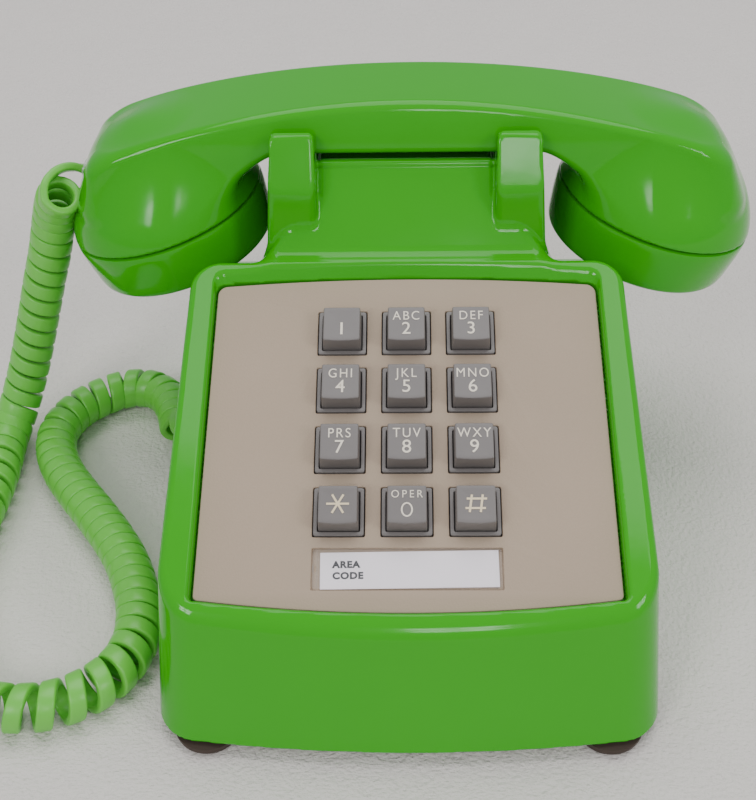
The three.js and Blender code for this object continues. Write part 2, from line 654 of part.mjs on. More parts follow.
function receiver() {
  return inCup(1, turned([[0, 1], [14, 1], [16, -4], [25, -5], [25, -10], [17, -14.2], [0, -14.2]], 32));
}

function transmitterCup() {
  return inCup(-1, turned([[0, 1.4], [27, 1.4], [27, -5], [26, -5], [26, -0.4], [0, -0.4]], 32));
}

// ---------- cord ----------
// Centre line of the coiled stretch, from the handset to the socket in the base.
const COIL_ROUTE = [
  [-114.6, 46.2, 98.4], [-115.8, 48.2, 93.4], [-117.8, 49.6, 85], [-120.6, 49.6, 74], [-124.2, 49.2, 63],
  [-127.8, 48.4, 51.5], [-131.4, 47.2, 40], [-135, 45.4, 29], [-138.6, 42.6, 19], [-141.6, 38, 11.4],
  [-143, 30, 7.9], [-142.6, 20, 7.3], [-142.2, 9, 7.3], [-142.6, -4, 7.3], [-143.6, -18, 7.3],
  [-144.4, -32, 7.3], [-144.4, -46, 7.3], [-142.6, -60, 7.3], [-138.4, -72, 7.3], [-131.4, -81.4, 7.3],
  [-122, -87, 7.3], [-111.5, -88.6, 7.3], [-101, -86.9, 7.3], [-91.6, -81.6, 7.3], [-85, -73.6, 7.3],
  [-82, -63.6, 7.3], [-82.6, -52.6, 7.3], [-85.6, -41.6, 7.3], [-90.4, -30, 7.3], [-96.8, -19.2, 7.3],
  [-104.6, -8, 7.3], [-112.8, 3, 7.3], [-120, 14, 7.3], [-124.6, 25, 7.3], [-125.6, 36, 7.3],
  [-121.6, 46, 7.3], [-114, 53, 7.3], [-105, 57.4, 7.3], [-95.4, 56.6, 7.3], [-88.2, 50.6, 7.3],
  [-85.6, 42, 7.3], [-85.2, 36.4, 7.4],
];
const HANDSET_TAIL = [
  [-106.6, AXIS_Y, 103.2], [-109.4, 53.4, 104.2], [-112.4, 52.9, 104.6], [-115.4, 52, 104.2],
];
const BASE_TAIL = [
  [-91.2, 33.6, 9.6], [-90.6, 31.4, 12.4], [-88.6, 28.6, 14.6], [-85.2, 26, 15.4], [-81.6, 25.1, 15.3],
  [-78.2, 25, 15.2],
];

function tubeAlong(points, halfW, halfT, steps, sides) {
  const section = [];
  for (let i = 0; i < sides; i++) {
    const t = (2 * Math.PI * (i + 0.5)) / sides;
    section.push([halfT * Math.cos(t), halfW * Math.sin(t)]);
  }
  const path = new THREE.CatmullRomCurve3(points.map((p) => new THREE.Vector3(...p)));
  const options = { steps, extrudePath: path, bevelEnabled: false };
  return solid(new THREE.ExtrudeGeometry(shapeOf(section), options));
}

const cordCoil = () => tubeAlong(COIL_ROUTE, COIL_R, COIL_R, 62, 10);
const handsetTail = () => tubeAlong(HANDSET_TAIL, CORD_W / 2, CORD_T / 2, 5, 8);
const baseTail = () => tubeAlong(BASE_TAIL, CORD_W / 2, CORD_T / 2, 5, 8);

// Clear modular plug, mouth end at x0 and nose towards +X.
function plug(x0, y, z) {
  const body = box(x0, x0 + 10.5, y - 3.8, y + 3.8, z - 2.2, z + 3.4);
  const latch = box(x0, x0 + 9, y - 1.5, y + 1.5, z - 3.8, z - 2);
  const throat = box(x0 - 1, x0 + 5, y - CORD_W / 2 - GAP, y + CORD_W / 2 + GAP, z - 1.05, z + 2.35);
  return cut(join(body, latch), throat);
}

const handsetPlug = () => plug(HANDSET_JACK.x - 3.4, AXIS_Y, HANDSET_JACK.z + 0.6);
const basePlug = () => plug(-77.8, JACK.y, JACK.z + 0.6);

// ---------- assembly ----------
const telephone = new THREE.Group();
const slope = new THREE.Group();
slope.position.copy(KEYPAD);
slope.rotation.x = SLOPE;
telephone.add(slope);
const handset = new THREE.Group();
handset.position.x = HANDSET_X;
telephone.add(handset);

function add(parent, name, manifold, material) {
  const mesh = new THREE.Mesh(geometryOf(manifold), material);
  mesh.name = name;
  parent.add(mesh);
}

add(telephone, 'housing', housing(), GREEN);
add(telephone, 'baseplate', baseplate(), STEEL);
[['front', FOOT.frontY], ['rear', FOOT.rearY]].forEach(([where, y]) => {
  add(telephone, `foot_${where}_left`, foot(-FOOT.x, y), BROWN_RUBBER);
  add(telephone, `foot_${where}_right`, foot(FOOT.x, y), BROWN_RUBBER);
});
add(telephone, 'housing_screw_left', housingScrew(-1), STEEL);
add(telephone, 'housing_screw_right', housingScrew(1), STEEL);

add(slope, 'faceplate', faceplate(), TAUPE);
add(slope, 'number_card', numberCard(), CARD_WHITE);
add(slope, 'card_window', cardWindow(), CLEAR);
add(slope, 'keypad_frame', keypadFrame(), GREY);
keySpots().forEach(({ name, x, y }) => add(slope, name, key(x, y), GREY));
add(slope, 'key_spring_sheet', springSheet(), STEEL);
add(slope, 'contact_board', contactBoard(), BOARD);
add(slope, 'tone_unit', toneUnit(), DARK);

add(telephone, 'hook_plunger_left', plunger(-1), CLEAR);
add(telephone, 'hook_plunger_right', plunger(1), CLEAR);
add(telephone, 'switch_bracket', switchBracket(), STEEL);
add(telephone, 'switch_lever', switchLever(), STEEL);
add(telephone, 'lever_pin', leverPin(), STEEL);
add(telephone, 'contact_pile', contactPile(), DARK);

add(telephone, 'ringer_frame', ringerFrame(), STEEL);
add(telephone, 'gong_left', gong(-1), BRASS);
add(telephone, 'gong_right', gong(1), BRASS);
add(telephone, 'gong_screw_left', gongScrew(-1), STEEL);
add(telephone, 'gong_screw_right', gongScrew(1), STEEL);
add(telephone, 'ringer_coil', ringerCoil(), COPPER);
add(telephone, 'clapper', clapper(), STEEL);
add(telephone, 'clapper_post', clapperPost(), STEEL);
add(telephone, 'volume_wheel', volumeWheel(), DARK);
add(telephone, 'wheel_bracket', wheelBracket(), STEEL);
add(telephone, 'network_block', networkBlock(), DARK);
add(telephone, 'base_cord_socket', baseSocket(), DARK);
add(telephone, 'line_socket', lineSocket(), DARK);

add(handset, 'handset_shell', handsetShell(), GREEN);
add(handset, 'transmitter_cap', transmitterCap(), GREEN);
add(handset, 'receiver_cap', receiverCap(), GREEN);
add(handset, 'transmitter', transmitter(), STEEL);
add(handset, 'transmitter_cup', transmitterCup(), DARK);
add(handset, 'receiver', receiver(), STEEL);
add(handset, 'handset_socket', handsetSocket(), DARK);

add(handset, 'cord_plug_handset', handsetPlug(), CLEAR);
add(telephone, 'cord_tail_handset', handsetTail(), GREEN);
add(telephone, 'cord_coil', cordCoil(), GREEN);
add(telephone, 'cord_tail_base', baseTail(), GREEN);
add(telephone, 'cord_plug_base', basePlug(), CLEAR);

export default telephone;
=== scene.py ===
import math

import bmesh
import bpy
import numpy as np
from mathutils import Matrix, Quaternion, Vector


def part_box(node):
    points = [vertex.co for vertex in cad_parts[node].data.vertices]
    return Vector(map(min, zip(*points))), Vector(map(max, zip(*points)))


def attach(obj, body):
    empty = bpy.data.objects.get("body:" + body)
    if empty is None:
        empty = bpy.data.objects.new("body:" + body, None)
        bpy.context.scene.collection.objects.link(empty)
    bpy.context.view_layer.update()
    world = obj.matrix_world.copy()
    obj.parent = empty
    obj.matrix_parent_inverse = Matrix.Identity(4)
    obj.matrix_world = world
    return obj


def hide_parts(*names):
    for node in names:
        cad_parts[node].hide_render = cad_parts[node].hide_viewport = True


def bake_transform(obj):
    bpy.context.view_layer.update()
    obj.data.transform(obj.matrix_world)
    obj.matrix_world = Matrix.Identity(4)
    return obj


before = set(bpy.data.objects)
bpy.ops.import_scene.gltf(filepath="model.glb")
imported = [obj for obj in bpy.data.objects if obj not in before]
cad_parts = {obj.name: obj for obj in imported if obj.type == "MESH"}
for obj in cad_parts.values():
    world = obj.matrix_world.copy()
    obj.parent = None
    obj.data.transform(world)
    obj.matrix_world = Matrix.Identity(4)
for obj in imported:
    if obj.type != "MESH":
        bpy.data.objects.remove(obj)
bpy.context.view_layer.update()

bl_info = {
    "name": "Push-button desk telephone",
    "version": (1, 0, 0),
    "blender": (4, 5, 0),
    "location": "3D View > Sidebar > Telephone",
    "description": "Shells, printed keys and coiled cord of a desk telephone around its working frame",
    "category": "Object",
}

MM = 0.001

# ---------- places shared with the working frame, in millimetres ----------
SLOPE = math.radians(25.2)                # tilt of the faceplate
KEYPAD = np.array([0.0, -33.0, 68.0])     # keypad centre, on the faceplate's surface
KEY_PITCH = 19.05
KEY_NAMES = ["1", "2", "3", "4", "5", "6", "7", "8", "9", "star", "0", "hash"]
AXIS_Y = 53.5                             # middle plane of the handset and the cradle
HANDSET_X = 1.2                           # the handset lies a little to the right
CUP_X, CUP_Z, CUP_R, CUP_TILT = 80.0, 90.75, 32.75, 0.283
BODY_Z0 = 4.5                             # lower edge of the housing
BODY_HALF_W = 71.4
BODY_LENGTH = 102.2                       # from the origin to the front and to the back
SIDE_DRAFT, FRONT_LEAN, REAR_LEAN = 0.067, 0.27, 0.06
FRONT_BOW = 4.0
WALL = 2.6
RIM_UP = 2.4                              # the rim stands this far above the faceplate
RIM_TOP = 53.2                            # upper edge of the rim, up the slope from the keypad centre
DECK = [(-20, -20), (120, -20), (120, 28), (100, 32), (96, 40), (86, 47), (40, 66), (22, 76), (-20, 70)]
NECK_SIDE = [(4, 20), (85, 20), (85, 112), (75.5, 113), (73, 110), (37.5, 110), (35, 116), (34, 116),
             (15, 91), (4, 84)]
NECK_CROWN = [(-43.3, 20), (43.3, 20), (43.3, 91.5), (35.3, 101), (27.3, 108), (27.3, 122), (-27.3, 122),
              (-27.3, 108), (-35.3, 101), (-43.3, 91.5)]
PRONG_SIDE = [(22, 60), (85, 60), (85.5, 119.6), (83.8, 122.6), (76, 125.3), (31, 126.6), (23.2, 125.2),
              (21.5, 122.2)]
PRONG_FRONT = [(26.7, 60), (44.7, 60), (43.3, 91), (41.1, 121.2), (41.1, 140), (27.7, 140), (27.2, 91)]
SEAT_Z, SEAT_FRONT, SEAT_BACK = 117.2, 32.6, 74.4
PLUNGER_X, PLUNGER_W = 34.4, 9.0
PLATE_TOP, PLATE_BOTTOM = 45.2, -54.3     # straight part of the faceplate's edges, on the slope
PLATE_TOP_HALF, PLATE_BOTTOM_HALF = 57.2, 58.4
PLATE_TOP_BOW, PLATE_BOTTOM_BOW = 2.2, 3.5
PLATE_T = 2.0
WELL_W, WELL_H = 14.7, 14.85
CARD = (-26.3, 26.3, -51.3, -39.2)        # bed of the number card, on the slope
KEY_UP = 6.2
FOOT_H = 3.4
FEET = {"foot_front_left": (-57, -90.4), "foot_front_right": (57, -90.4),
        "foot_rear_left": (-57, 84), "foot_rear_right": (57, 84)}
BOSS_X, BOSS_Y = 54, 2                    # screw bosses of the housing
SCREWS = {"housing_screw_left": (-BOSS_X, BOSS_Y), "housing_screw_right": (BOSS_X, BOSS_Y)}
WHEEL = (56, -34, 13)                     # middle of the volume wheel
JACK_Y, JACK_Z, JACK_W, JACK_H = 25.0, 14.0, 12.0, 13.0
LINE_X, LINE_Z, LINE_W, LINE_H = -30.0, 22.0, 15.0, 14.0
HANDSET_JACK = (-103.4, 101.5, 11.0, 12.0, 10.0)      # X of its mouth, Z of its middle, width, height, depth

# ---------- the cord as it lies, in millimetres ----------
# Centre line of the coil, from the handset to the socket in the base. From its fifth to its
# thirty-fifth point it is the working frame's route; its two ends have their own places.
COIL_ROUTE = [
    (-110.5, 41.5, 101.1), (-113.4, 45.2, 95.9), (-116.6, 48.6, 87.2), (-120.2, 49.5, 75), (-124.2, 49.2, 63),
    (-127.8, 48.4, 51.5), (-131.4, 47.2, 40), (-135, 45.4, 29), (-138.6, 42.6, 19), (-141.6, 38, 11.4),
    (-143, 30, 7.9), (-142.6, 20, 7.3), (-142.2, 9, 7.3), (-142.6, -4, 7.3), (-143.6, -18, 7.3),
    (-144.4, -32, 7.3), (-144.4, -46, 7.3), (-142.6, -60, 7.3), (-138.4, -72, 7.3), (-131.4, -81.4, 7.3),
    (-122, -87, 7.3), (-111.5, -88.6, 7.3), (-101, -86.9, 7.3), (-91.6, -81.6, 7.3), (-85, -73.6, 7.3),
    (-82, -63.6, 7.3), (-82.6, -52.6, 7.3), (-85.6, -41.6, 7.3), (-90.4, -30, 7.3), (-96.8, -19.2, 7.3),
    (-104.6, -8, 7.3), (-112.8, 3, 7.3), (-120, 14, 7.3), (-124.6, 25, 7.3), (-125.6, 36, 7.3),
    (-121.6, 47, 7.3), (-114.2, 55, 7.3), (-105.2, 60.2, 7.3), (-96, 60, 7.3), (-89.2, 54.6, 7.3),
    (-85, 46.4, 7.3), (-82.8, 38.6, 7.3),
]
# Uncoiled tails, from the plug in the handset to the coil, and from the coil to the plug in the base.
HANDSET_TAIL = [
    (-101.5, 53.5, 102.8), (-104.6, 53.4, 103.4), (-107, 52.6, 104.5), (-109, 51.4, 105.3),
    (-110.9, 49.8, 105.7), (-112.8, 47.8, 105.5), (-114.3, 45.6, 105),
]
BASE_TAIL = [
    (-85.6, 38.3, 12.4), (-83.3, 36.2, 14.4), (-82, 33.4, 15.6), (-81.6, 30.4, 15.9),
    (-80.9, 27.6, 15.6), (-79.2, 25.7, 15.3), (-76.9, 25, 15.2), (-73.4, 25, 15.2),
]
ARC_CENTRE = np.array([-108.8, 49, 98])   # middle of the arc that the cord makes beside the handset
ARC_LEAN = 0.79                           # its thickness points back there by this share of what it points up
# How far the coil is stretched, from 0 where its turns touch to 1, by points of its route.
STRETCH = [
    (0, 0.1), (1.5, 0.2), (3, 0.3), (5, 0.4), (9, 0.45), (14, 0.7), (18, 1), (22, 0.9), (24, 0.5),
    (25.5, 0.15), (27, 0), (32.5, 0), (34, 0.42), (36, 0.5), (37.5, 0.45), (38.5, 0.2), (39.5, 0), (41, 0),
]


# ---------- settings ----------
def colour(name, about, value):
    return bpy.props.FloatVectorProperty(name=name, description=about, default=value, size=3, min=0, max=1,
                                         subtype="COLOR")


def length(name, about, value):
    return bpy.props.FloatProperty(name=name, description=about, default=value * MM, min=0, unit="LENGTH",
                                   subtype="DISTANCE", precision=5)


class TelephoneColours(bpy.types.PropertyGroup):
    green: colour("Shell green", "Moulded shells and caps", (0.031, 0.375, 0.005))
    cord_green: colour("Cord green", "Jacket of the coiled cord", (0.14, 0.57, 0.057))
    taupe: colour("Faceplate", "Grained faceplate", (0.41, 0.315, 0.23))
    key_grey: colour("Key grey", "Keys and their collars", (0.172, 0.156, 0.15))
    legend: colour("Legends", "Printing on the keys", (0.86, 0.78, 0.65))
    card: colour("Number card", "Paper under the window", (0.98, 0.91, 0.95))
    ink: colour("Card ink", "Printing on the card", (0.02, 0.02, 0.024))
    rubber: colour("Feet", "Rubber of the feet", (0.055, 0.035, 0.026))
    cloth: colour("Cloth", "Pale cloth under the telephone", (0.755, 0.71, 0.672))


class TelephoneSizes(bpy.types.PropertyGroup):
    shell_step: length("Shell detail", "Spacing of the points on the moulded shells", 0.8)
    rim_round: length("Rim rounding", "Rounding of the rim's outer edge", 2.4)
    crease: length("Handle crease", "Rounding along the top edges of the handle", 2.2)
    blend: length("Cup blend", "Hollow rounding where the handle runs into the cups", 9)
    key_round: length("Key rounding", "Rounding of the key tops", 0.32)
    band_width: length("Cord width", "Width of the flat cord", 5.1)
    band_thickness: length("Cord thickness", "Thickness of the flat cord", 2.6)
    coil_radius: length("Coil radius", "From the coil's axis to the middle of the cord", 5.85)
    pitch_tight: length("Tight pitch", "Pitch of the coil where its turns touch", 5.15)
    pitch_loose: length("Loose pitch", "Pitch of the coil where it is pulled out most", 8.3)


class TelephoneStage(bpy.types.PropertyGroup):
    lens: bpy.props.FloatProperty(name="Lens", description="Focal length on a 36 mm sensor", default=58.49)
    roll: bpy.props.FloatProperty(name="Roll", description="Turn of the camera about its own line of sight",
                                  default=math.radians(-1.418), subtype="ANGLE")
    window: bpy.props.FloatProperty(name="Window light", description="Power of the window lights",
                                    default=9, unit="POWER")
    ceiling: bpy.props.FloatProperty(name="Ceiling light", description="Power of the broad light above",
                                     default=22, unit="POWER")
    room: bpy.props.FloatProperty(name="Room light", description="Strength of the even light all round",
                                  default=0.55, min=0)


# ---------- finishes ----------
TINT_SCALE, SHEEN_SCALE = 34, 75    # how fine the changes of a finish's colour and roughness are


def finish(name, base, rough, metal=0.0, mottle=0.04, grain=0.0, grain_scale=400.0, patchy=0.08, shine=0.5,
           solid=1.0, pattern=None, ior=1.5, stretch=(1, 1, 1)):
    """A procedural finish. mottle varies its colour, patchy its roughness, and grain its height in mm."""
    material = bpy.data.materials.new(name)
    material.use_nodes = True
    nodes = material.node_tree.nodes
    link = material.node_tree.links.new
    shader = nodes["Principled BSDF"]
    shader.inputs["Metallic"].default_value = metal
    shader.inputs["IOR"].default_value = ior
    shader.inputs["Specular IOR Level"].default_value = shine
    shader.inputs["Alpha"].default_value = solid
    place = nodes.new("ShaderNodeTexCoord")
    spread = nodes.new("ShaderNodeMapping")
    spread.inputs["Scale"].default_value = stretch
    link(place.outputs["Object"], spread.inputs["Vector"])

    def noise(scale, detail):
        node = nodes.new("ShaderNodeTexNoise")
        node.inputs["Scale"].default_value = scale
        node.inputs["Detail"].default_value = detail
        link(spread.outputs["Vector"], node.inputs["Vector"])
        return node

    tint = nodes.new("ShaderNodeMix")
    tint.data_type = "RGBA"
    link(noise(TINT_SCALE, 4).outputs["Fac"], tint.inputs["Factor"])
    tint.inputs["A"].default_value = [c * (1 - mottle) for c in base] + [1]
    tint.inputs["B"].default_value = [min(c * (1 + mottle), 1) for c in base] + [1]
    link(tint.outputs["Result"], shader.inputs["Base Color"])
    dull = nodes.new("ShaderNodeMapRange")
    dull.inputs["To Min"].default_value = max(rough - patchy, 0.02)
    dull.inputs["To Max"].default_value = rough + patchy
    link(noise(SHEEN_SCALE, 6).outputs["Fac"], dull.inputs["Value"])
    link(dull.outputs["Result"], shader.inputs["Roughness"])
    if grain:
        bump = nodes.new("ShaderNodeBump")
        bump.inputs["Distance"].default_value = grain * MM
        bump.inputs["Strength"].default_value = 1.0
        source = pattern(nodes, link, spread) if pattern else noise(grain_scale, 3).outputs["Fac"]
        link(source, bump.inputs["Height"])
        link(bump.outputs["Normal"], shader.inputs["Normal"])
    return material


def pits(scale):
    """Fine pitted grain of a spark-eroded mould."""
    def build(nodes, link, place):
        node = nodes.new("ShaderNodeTexVoronoi")
        node.inputs["Scale"].default_value = scale
        link(place.outputs["Vector"], node.inputs["Vector"])
        return node.outputs["Distance"]
    return build


def lines(scale, direction, rings=False):
    """Fine parallel or round lines, as on wound wire or turned metal."""
    def build(nodes, link, place):
        node = nodes.new("ShaderNodeTexWave")
        node.wave_type = "RINGS" if rings else "BANDS"
        if rings:
            node.rings_direction = direction
        else:
            node.bands_direction = direction
        node.inputs["Scale"].default_value = scale
        node.inputs["Distortion"].default_value = 0.6
        link(place.outputs["Vector"], node.inputs["Vector"])
        return node.outputs["Fac"]
    return build


def weave(scale):
    """Over and under of a plain woven cloth."""
    def build(nodes, link, place):
        across = lines(scale, "X")(nodes, link, place)
        along = lines(scale * 1.07, "Y")(nodes, link, place)
        both = nodes.new("ShaderNodeMath")
        both.operation = "MULTIPLY"
        link(across, both.inputs[0])
        link(along, both.inputs[1])
        return both.outputs["Value"]
    return build


def felted(scale):
    """Pressed fibres of a soft cloth: fine streaks that lie two ways, and broad hollows."""
    def build(nodes, link, place):
        layers = []
        for stretch, size in (((1, 0.6, 1), scale), ((0.6, 1, 1), scale * 1.3), ((1, 1, 1), scale / 5)):
            pull = nodes.new("ShaderNodeMapping")
            pull.inputs["Scale"].default_value = stretch
            link(place.outputs["Vector"], pull.inputs["Vector"])
            fibre = nodes.new("ShaderNodeTexNoise")
            fibre.inputs["Scale"].default_value = size
            fibre.inputs["Detail"].default_value = 3
            link(pull.outputs["Vector"], fibre.inputs["Vector"])
            layers.append(fibre.outputs["Fac"])
        total = layers[0]
        for layer in layers[1:]:
            plus = nodes.new("ShaderNodeMath")
            link(total, plus.inputs[0])
            link(layer, plus.inputs[1])
            total = plus.outputs["Value"]
        return total
    return build


FINISHES = {}


def make_finishes(tones):
    """All finishes of the telephone, by the record's slots where they have one."""
    yellowed = [c * f for c, f in zip(tones.legend, (0.96, 0.88, 0.7))]
    FINISHES.update({
        "green_shell": finish("green_shell", tones.green, 0.1, mottle=0.03, grain=0.012, grain_scale=260,
                              patchy=0.05, shine=0.32),
        "green_cord": finish("green_cord", tones.cord_green, 0.34, mottle=0.07, grain=0.02, grain_scale=900),
        "faceplate_taupe": finish("faceplate_taupe", tones.taupe, 0.62, mottle=0.05, grain=0.05,
                                  pattern=pits(1500)),
        "key_grey": finish("key_grey", tones.key_grey, 0.36, mottle=0.06, grain=0.012, grain_scale=1400),
        "legend": finish("legend", tones.legend, 0.45, mottle=0.04, grain=0.01, grain_scale=2500),
        "yellowed_legend": finish("yellowed_legend", yellowed, 0.45, mottle=0.06, grain=0.01,
                                  grain_scale=2500),
        "card_paper": finish("card_paper", tones.card, 0.7, mottle=0.02, grain=0.02, grain_scale=1800),
        "card_ink": finish("card_ink", tones.ink, 0.6, mottle=0.15, grain=0.01, grain_scale=1800),
        "clear_window": finish("clear_window", (0.8, 0.81, 0.84), 0.08, mottle=0.01, solid=0.035, patchy=0.04,
                               grain=0.01, grain_scale=180),
        "clear_plug": finish("clear_plug", (0.8, 0.83, 0.8), 0.12, mottle=0.02, solid=0.42, patchy=0.05,
                             grain=0.02, grain_scale=500, ior=1.58),
        "rubber_foot": finish("rubber_foot", tones.rubber, 0.82, mottle=0.25, grain=0.08, grain_scale=700),
        "base_steel": finish("base_steel", (0.56, 0.56, 0.54), 0.34, metal=1.0, mottle=0.06, grain=0.02,
                             grain_scale=300, stretch=(1, 14, 1)),
        "spring_steel": finish("spring_steel", (0.5, 0.5, 0.48), 0.26, metal=1.0, mottle=0.05, grain=0.01,
                               grain_scale=500, stretch=(10, 1, 1)),
        "circuit_board": finish("circuit_board", (0.27, 0.13, 0.045), 0.5, mottle=0.12, grain=0.05,
                                pattern=weave(700)),
        "black_moulding": finish("black_moulding", (0.022, 0.022, 0.022), 0.45, mottle=0.2, grain=0.04,
                                 grain_scale=900),
        "gong_brass": finish("gong_brass", (0.62, 0.45, 0.17), 0.2, metal=1.0, mottle=0.08, grain=0.01,
                             pattern=lines(900, "Z", rings=True)),
        "coil_winding": finish("coil_winding", (0.35, 0.1, 0.03), 0.3, metal=0.6, mottle=0.1, grain=0.08,
                               pattern=lines(1300, "X")),
        "capsule_metal": finish("capsule_metal", (0.6, 0.6, 0.6), 0.28, metal=1.0, mottle=0.05, grain=0.015,
                                pattern=lines(700, "Z", rings=True)),
        "contact_gold": finish("contact_gold", (0.8, 0.55, 0.2), 0.2, metal=1.0, mottle=0.05, grain=0.005),
    })


# ---------- meshes ----------
def piece(name, verts, faces, *finishes, smooth=True):
    """A new mesh object, in metres, from points in millimetres."""
    mesh = bpy.data.meshes.new(name)
    mesh.from_pydata(np.asarray(verts, float) * MM, [], [list(f) for f in faces])
    mesh.validate()
    made = bpy.data.objects.new(name, mesh)
    bpy.context.scene.collection.objects.link(made)
    for key in finishes:
        mesh.materials.append(FINISHES[key])
    if smooth:
        mesh.shade_smooth()
    return made


def settle(made, body, slot_name, *nodes):
    """Rides on a body and stands for CAD nodes, which it hides; slot_name is not used."""
    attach(made, body)
    if nodes:
        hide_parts(*nodes)
    return made


def merge(name, parts):
    """Joins objects into the first, keeping their finishes."""
    with bpy.context.temp_override(active_object=parts[0], selected_objects=parts,
                                   selected_editable_objects=parts):
        bpy.ops.object.join()
    parts[0].name = name
    return parts[0]


def apply_modifiers(made):
    """Keeps the mesh that the modifiers make and drops the modifiers."""
    graph = bpy.context.evaluated_depsgraph_get()
    shaped = bpy.data.meshes.new_from_object(made.evaluated_get(graph))
    made.modifiers.clear()
    made.data = shaped
    return made


def sharpen(made, degrees=35):
    """Smooth shading that keeps creases sharper than this angle."""
    made.data.shade_smooth()
    mesh = bmesh.new()
    mesh.from_mesh(made.data)
    for edge in mesh.edges:
        edge.smooth = len(edge.link_faces) == 2 and edge.calc_face_angle(0) < math.radians(degrees)
    mesh.to_mesh(made.data)
    mesh.free()
    return made


def carve(made, *tools):
    """Cuts the tool objects out of made and removes them."""
    for tool in tools:
        change = made.modifiers.new("cut", "BOOLEAN")
        change.operation = "DIFFERENCE"
        change.solver = "EXACT"
        change.object = tool
    apply_modifiers(made)
    for tool in tools:
        bpy.data.objects.remove(tool)
    return made


def ring(half_x, half_y, radius, z, steps=5, centre=(0, 0), arch=0.0):
    """Rounded rectangle at a height. arch bows its front side out."""
    points = []
    for sx, sy, start in ((1, -1, -90), (1, 1, 0), (-1, 1, 90), (-1, -1, 180)):
        for i in range(steps + 1):
            turn = math.radians(start + 90 * i / steps)
            points.append([sx * (half_x - radius) + radius * math.cos(turn),
                           sy * (half_y - radius) + radius * math.sin(turn), z])
        if (sx, sy) == (-1, -1):
            flat = half_x - radius
            points += [[flat * t, -half_y, z] for t in (-0.75, -0.5, -0.25, 0, 0.25, 0.5, 0.75)]
    bowed = np.array(points)
    front = bowed[:, 1] < 0
    bowed[front, 1] -= arch * (1 - np.clip(np.abs(bowed[front, 0]) / half_x, 0, 1) ** 2)
    bowed[:, 0] += centre[0]
    bowed[:, 1] += centre[1]
    return bowed


def loft(rings):
    """Closed skin through rings of equally many points, with flat ends."""
    count = len(rings[0])
    verts = np.concatenate(rings)
    faces = []
    for level in range(len(rings) - 1):
        for i in range(count):
            a = level * count + i
            b = level * count + (i + 1) % count
            faces.append((a, b, b + count, a + count))
    faces.append(tuple(reversed(range(count))))
    faces.append(tuple(range((len(rings) - 1) * count, len(rings) * count)))
    return verts, faces


def turned(profile, sides=64):
    """Skin of a closed profile of radius and height pairs, turned about Z; it may touch the axis."""
    profile = np.array(profile, float)
    turns = 2 * math.pi * np.arange(sides) / sides
    verts = np.concatenate([np.stack([r * np.cos(turns), r * np.sin(turns), np.full(sides, h)], 1)
                            for r, h in profile])
    faces = []
    for level in range(len(profile)):
        following = (level + 1) % len(profile)
        if profile[level][0] < 1e-6 and profile[following][0] < 1e-6:
            continue
        for i in range(sides):
            j = (i + 1) % sides
            faces.append((level * sides + i, level * sides + j, following * sides + j, following * sides + i))
    mesh = bmesh.new()
    made = [mesh.verts.new(v) for v in verts]
    for face in faces:
        mesh.faces.new([made[i] for i in face])
    bmesh.ops.remove_doubles(mesh, verts=mesh.verts, dist=1e-5)
    bmesh.ops.recalc_face_normals(mesh, faces=mesh.faces)
    mesh.verts.index_update()
    out = [tuple(v.co) for v in mesh.verts], [[v.index for v in f.verts] for f in mesh.faces]
    mesh.free()
    return out


def flat_sheet(name, loops, z0, z1, bevel, *finishes):
    """A sheet with bevelled edges from closed outlines; inner outlines are holes."""
    curve = bpy.data.curves.new(name, "CURVE")
    curve.dimensions = "2D"
    curve.fill_mode = "BOTH"
    for loop in loops:
        spline = curve.splines.new("POLY")
        spline.points.add(len(loop) - 1)
        for point, (x, y) in zip(spline.points, loop):
            point.co = (x, y, 0, 1)
        spline.use_cyclic_u = True
    curve.bevel_depth = bevel
    curve.bevel_resolution = 2
    curve.offset = -bevel
    curve.extrude = (z1 - z0) / 2 - bevel
    holder = bpy.data.objects.new(name, curve)
    bpy.context.scene.collection.objects.link(holder)
    graph = bpy.context.evaluated_depsgraph_get()
    mesh = bpy.data.meshes.new_from_object(holder.evaluated_get(graph))
    bpy.data.objects.remove(holder)
    mesh.transform(Matrix.Translation((0, 0, (z0 + z1) / 2)))
    mesh.transform(Matrix.Scale(MM, 4))
    made = bpy.data.objects.new(name, mesh)
    bpy.context.scene.collection.objects.link(made)
    mesh.materials.clear()
    for key in finishes:
        mesh.materials.append(FINISHES[key])
    weld(made)
    return made


def weld(made, distance=1e-6):
    """Joins points that lie on each other and turns all faces outwards."""
    mesh = bmesh.new()
    mesh.from_mesh(made.data)
    bmesh.ops.remove_doubles(mesh, verts=mesh.verts, dist=distance)
    bmesh.ops.recalc_face_normals(mesh, faces=mesh.faces)
    mesh.to_mesh(made.data)
    mesh.free()
    return made


def lettering(name, text, size, centre, z, finish_name, align="CENTER", bold=0.0, widen=1.0, spread=1.08):
    """Printed characters as a thin mesh, lying in X and Y, in millimetres."""
    curve = bpy.data.curves.new(name, "FONT")
    curve.body = text
    curve.size = size
    curve.align_x = align
    curve.align_y = "CENTER"
    curve.extrude = 0.025
    curve.offset = bold
    curve.space_character = spread
    holder = bpy.data.objects.new(name, curve)
    bpy.context.scene.collection.objects.link(holder)
    graph = bpy.context.evaluated_depsgraph_get()
    mesh = bpy.data.meshes.new_from_object(holder.evaluated_get(graph))
    bpy.data.objects.remove(holder)
    mesh.transform(Matrix.Diagonal((widen, 1, 1, 1)))
    mesh.transform(Matrix.Translation((centre[0], centre[1], z)))
    mesh.transform(Matrix.Scale(MM, 4))
    made = bpy.data.objects.new(name, mesh)
    bpy.context.scene.collection.objects.link(made)
    mesh.materials.clear()
    mesh.materials.append(FINISHES[finish_name])
    return weld(made)


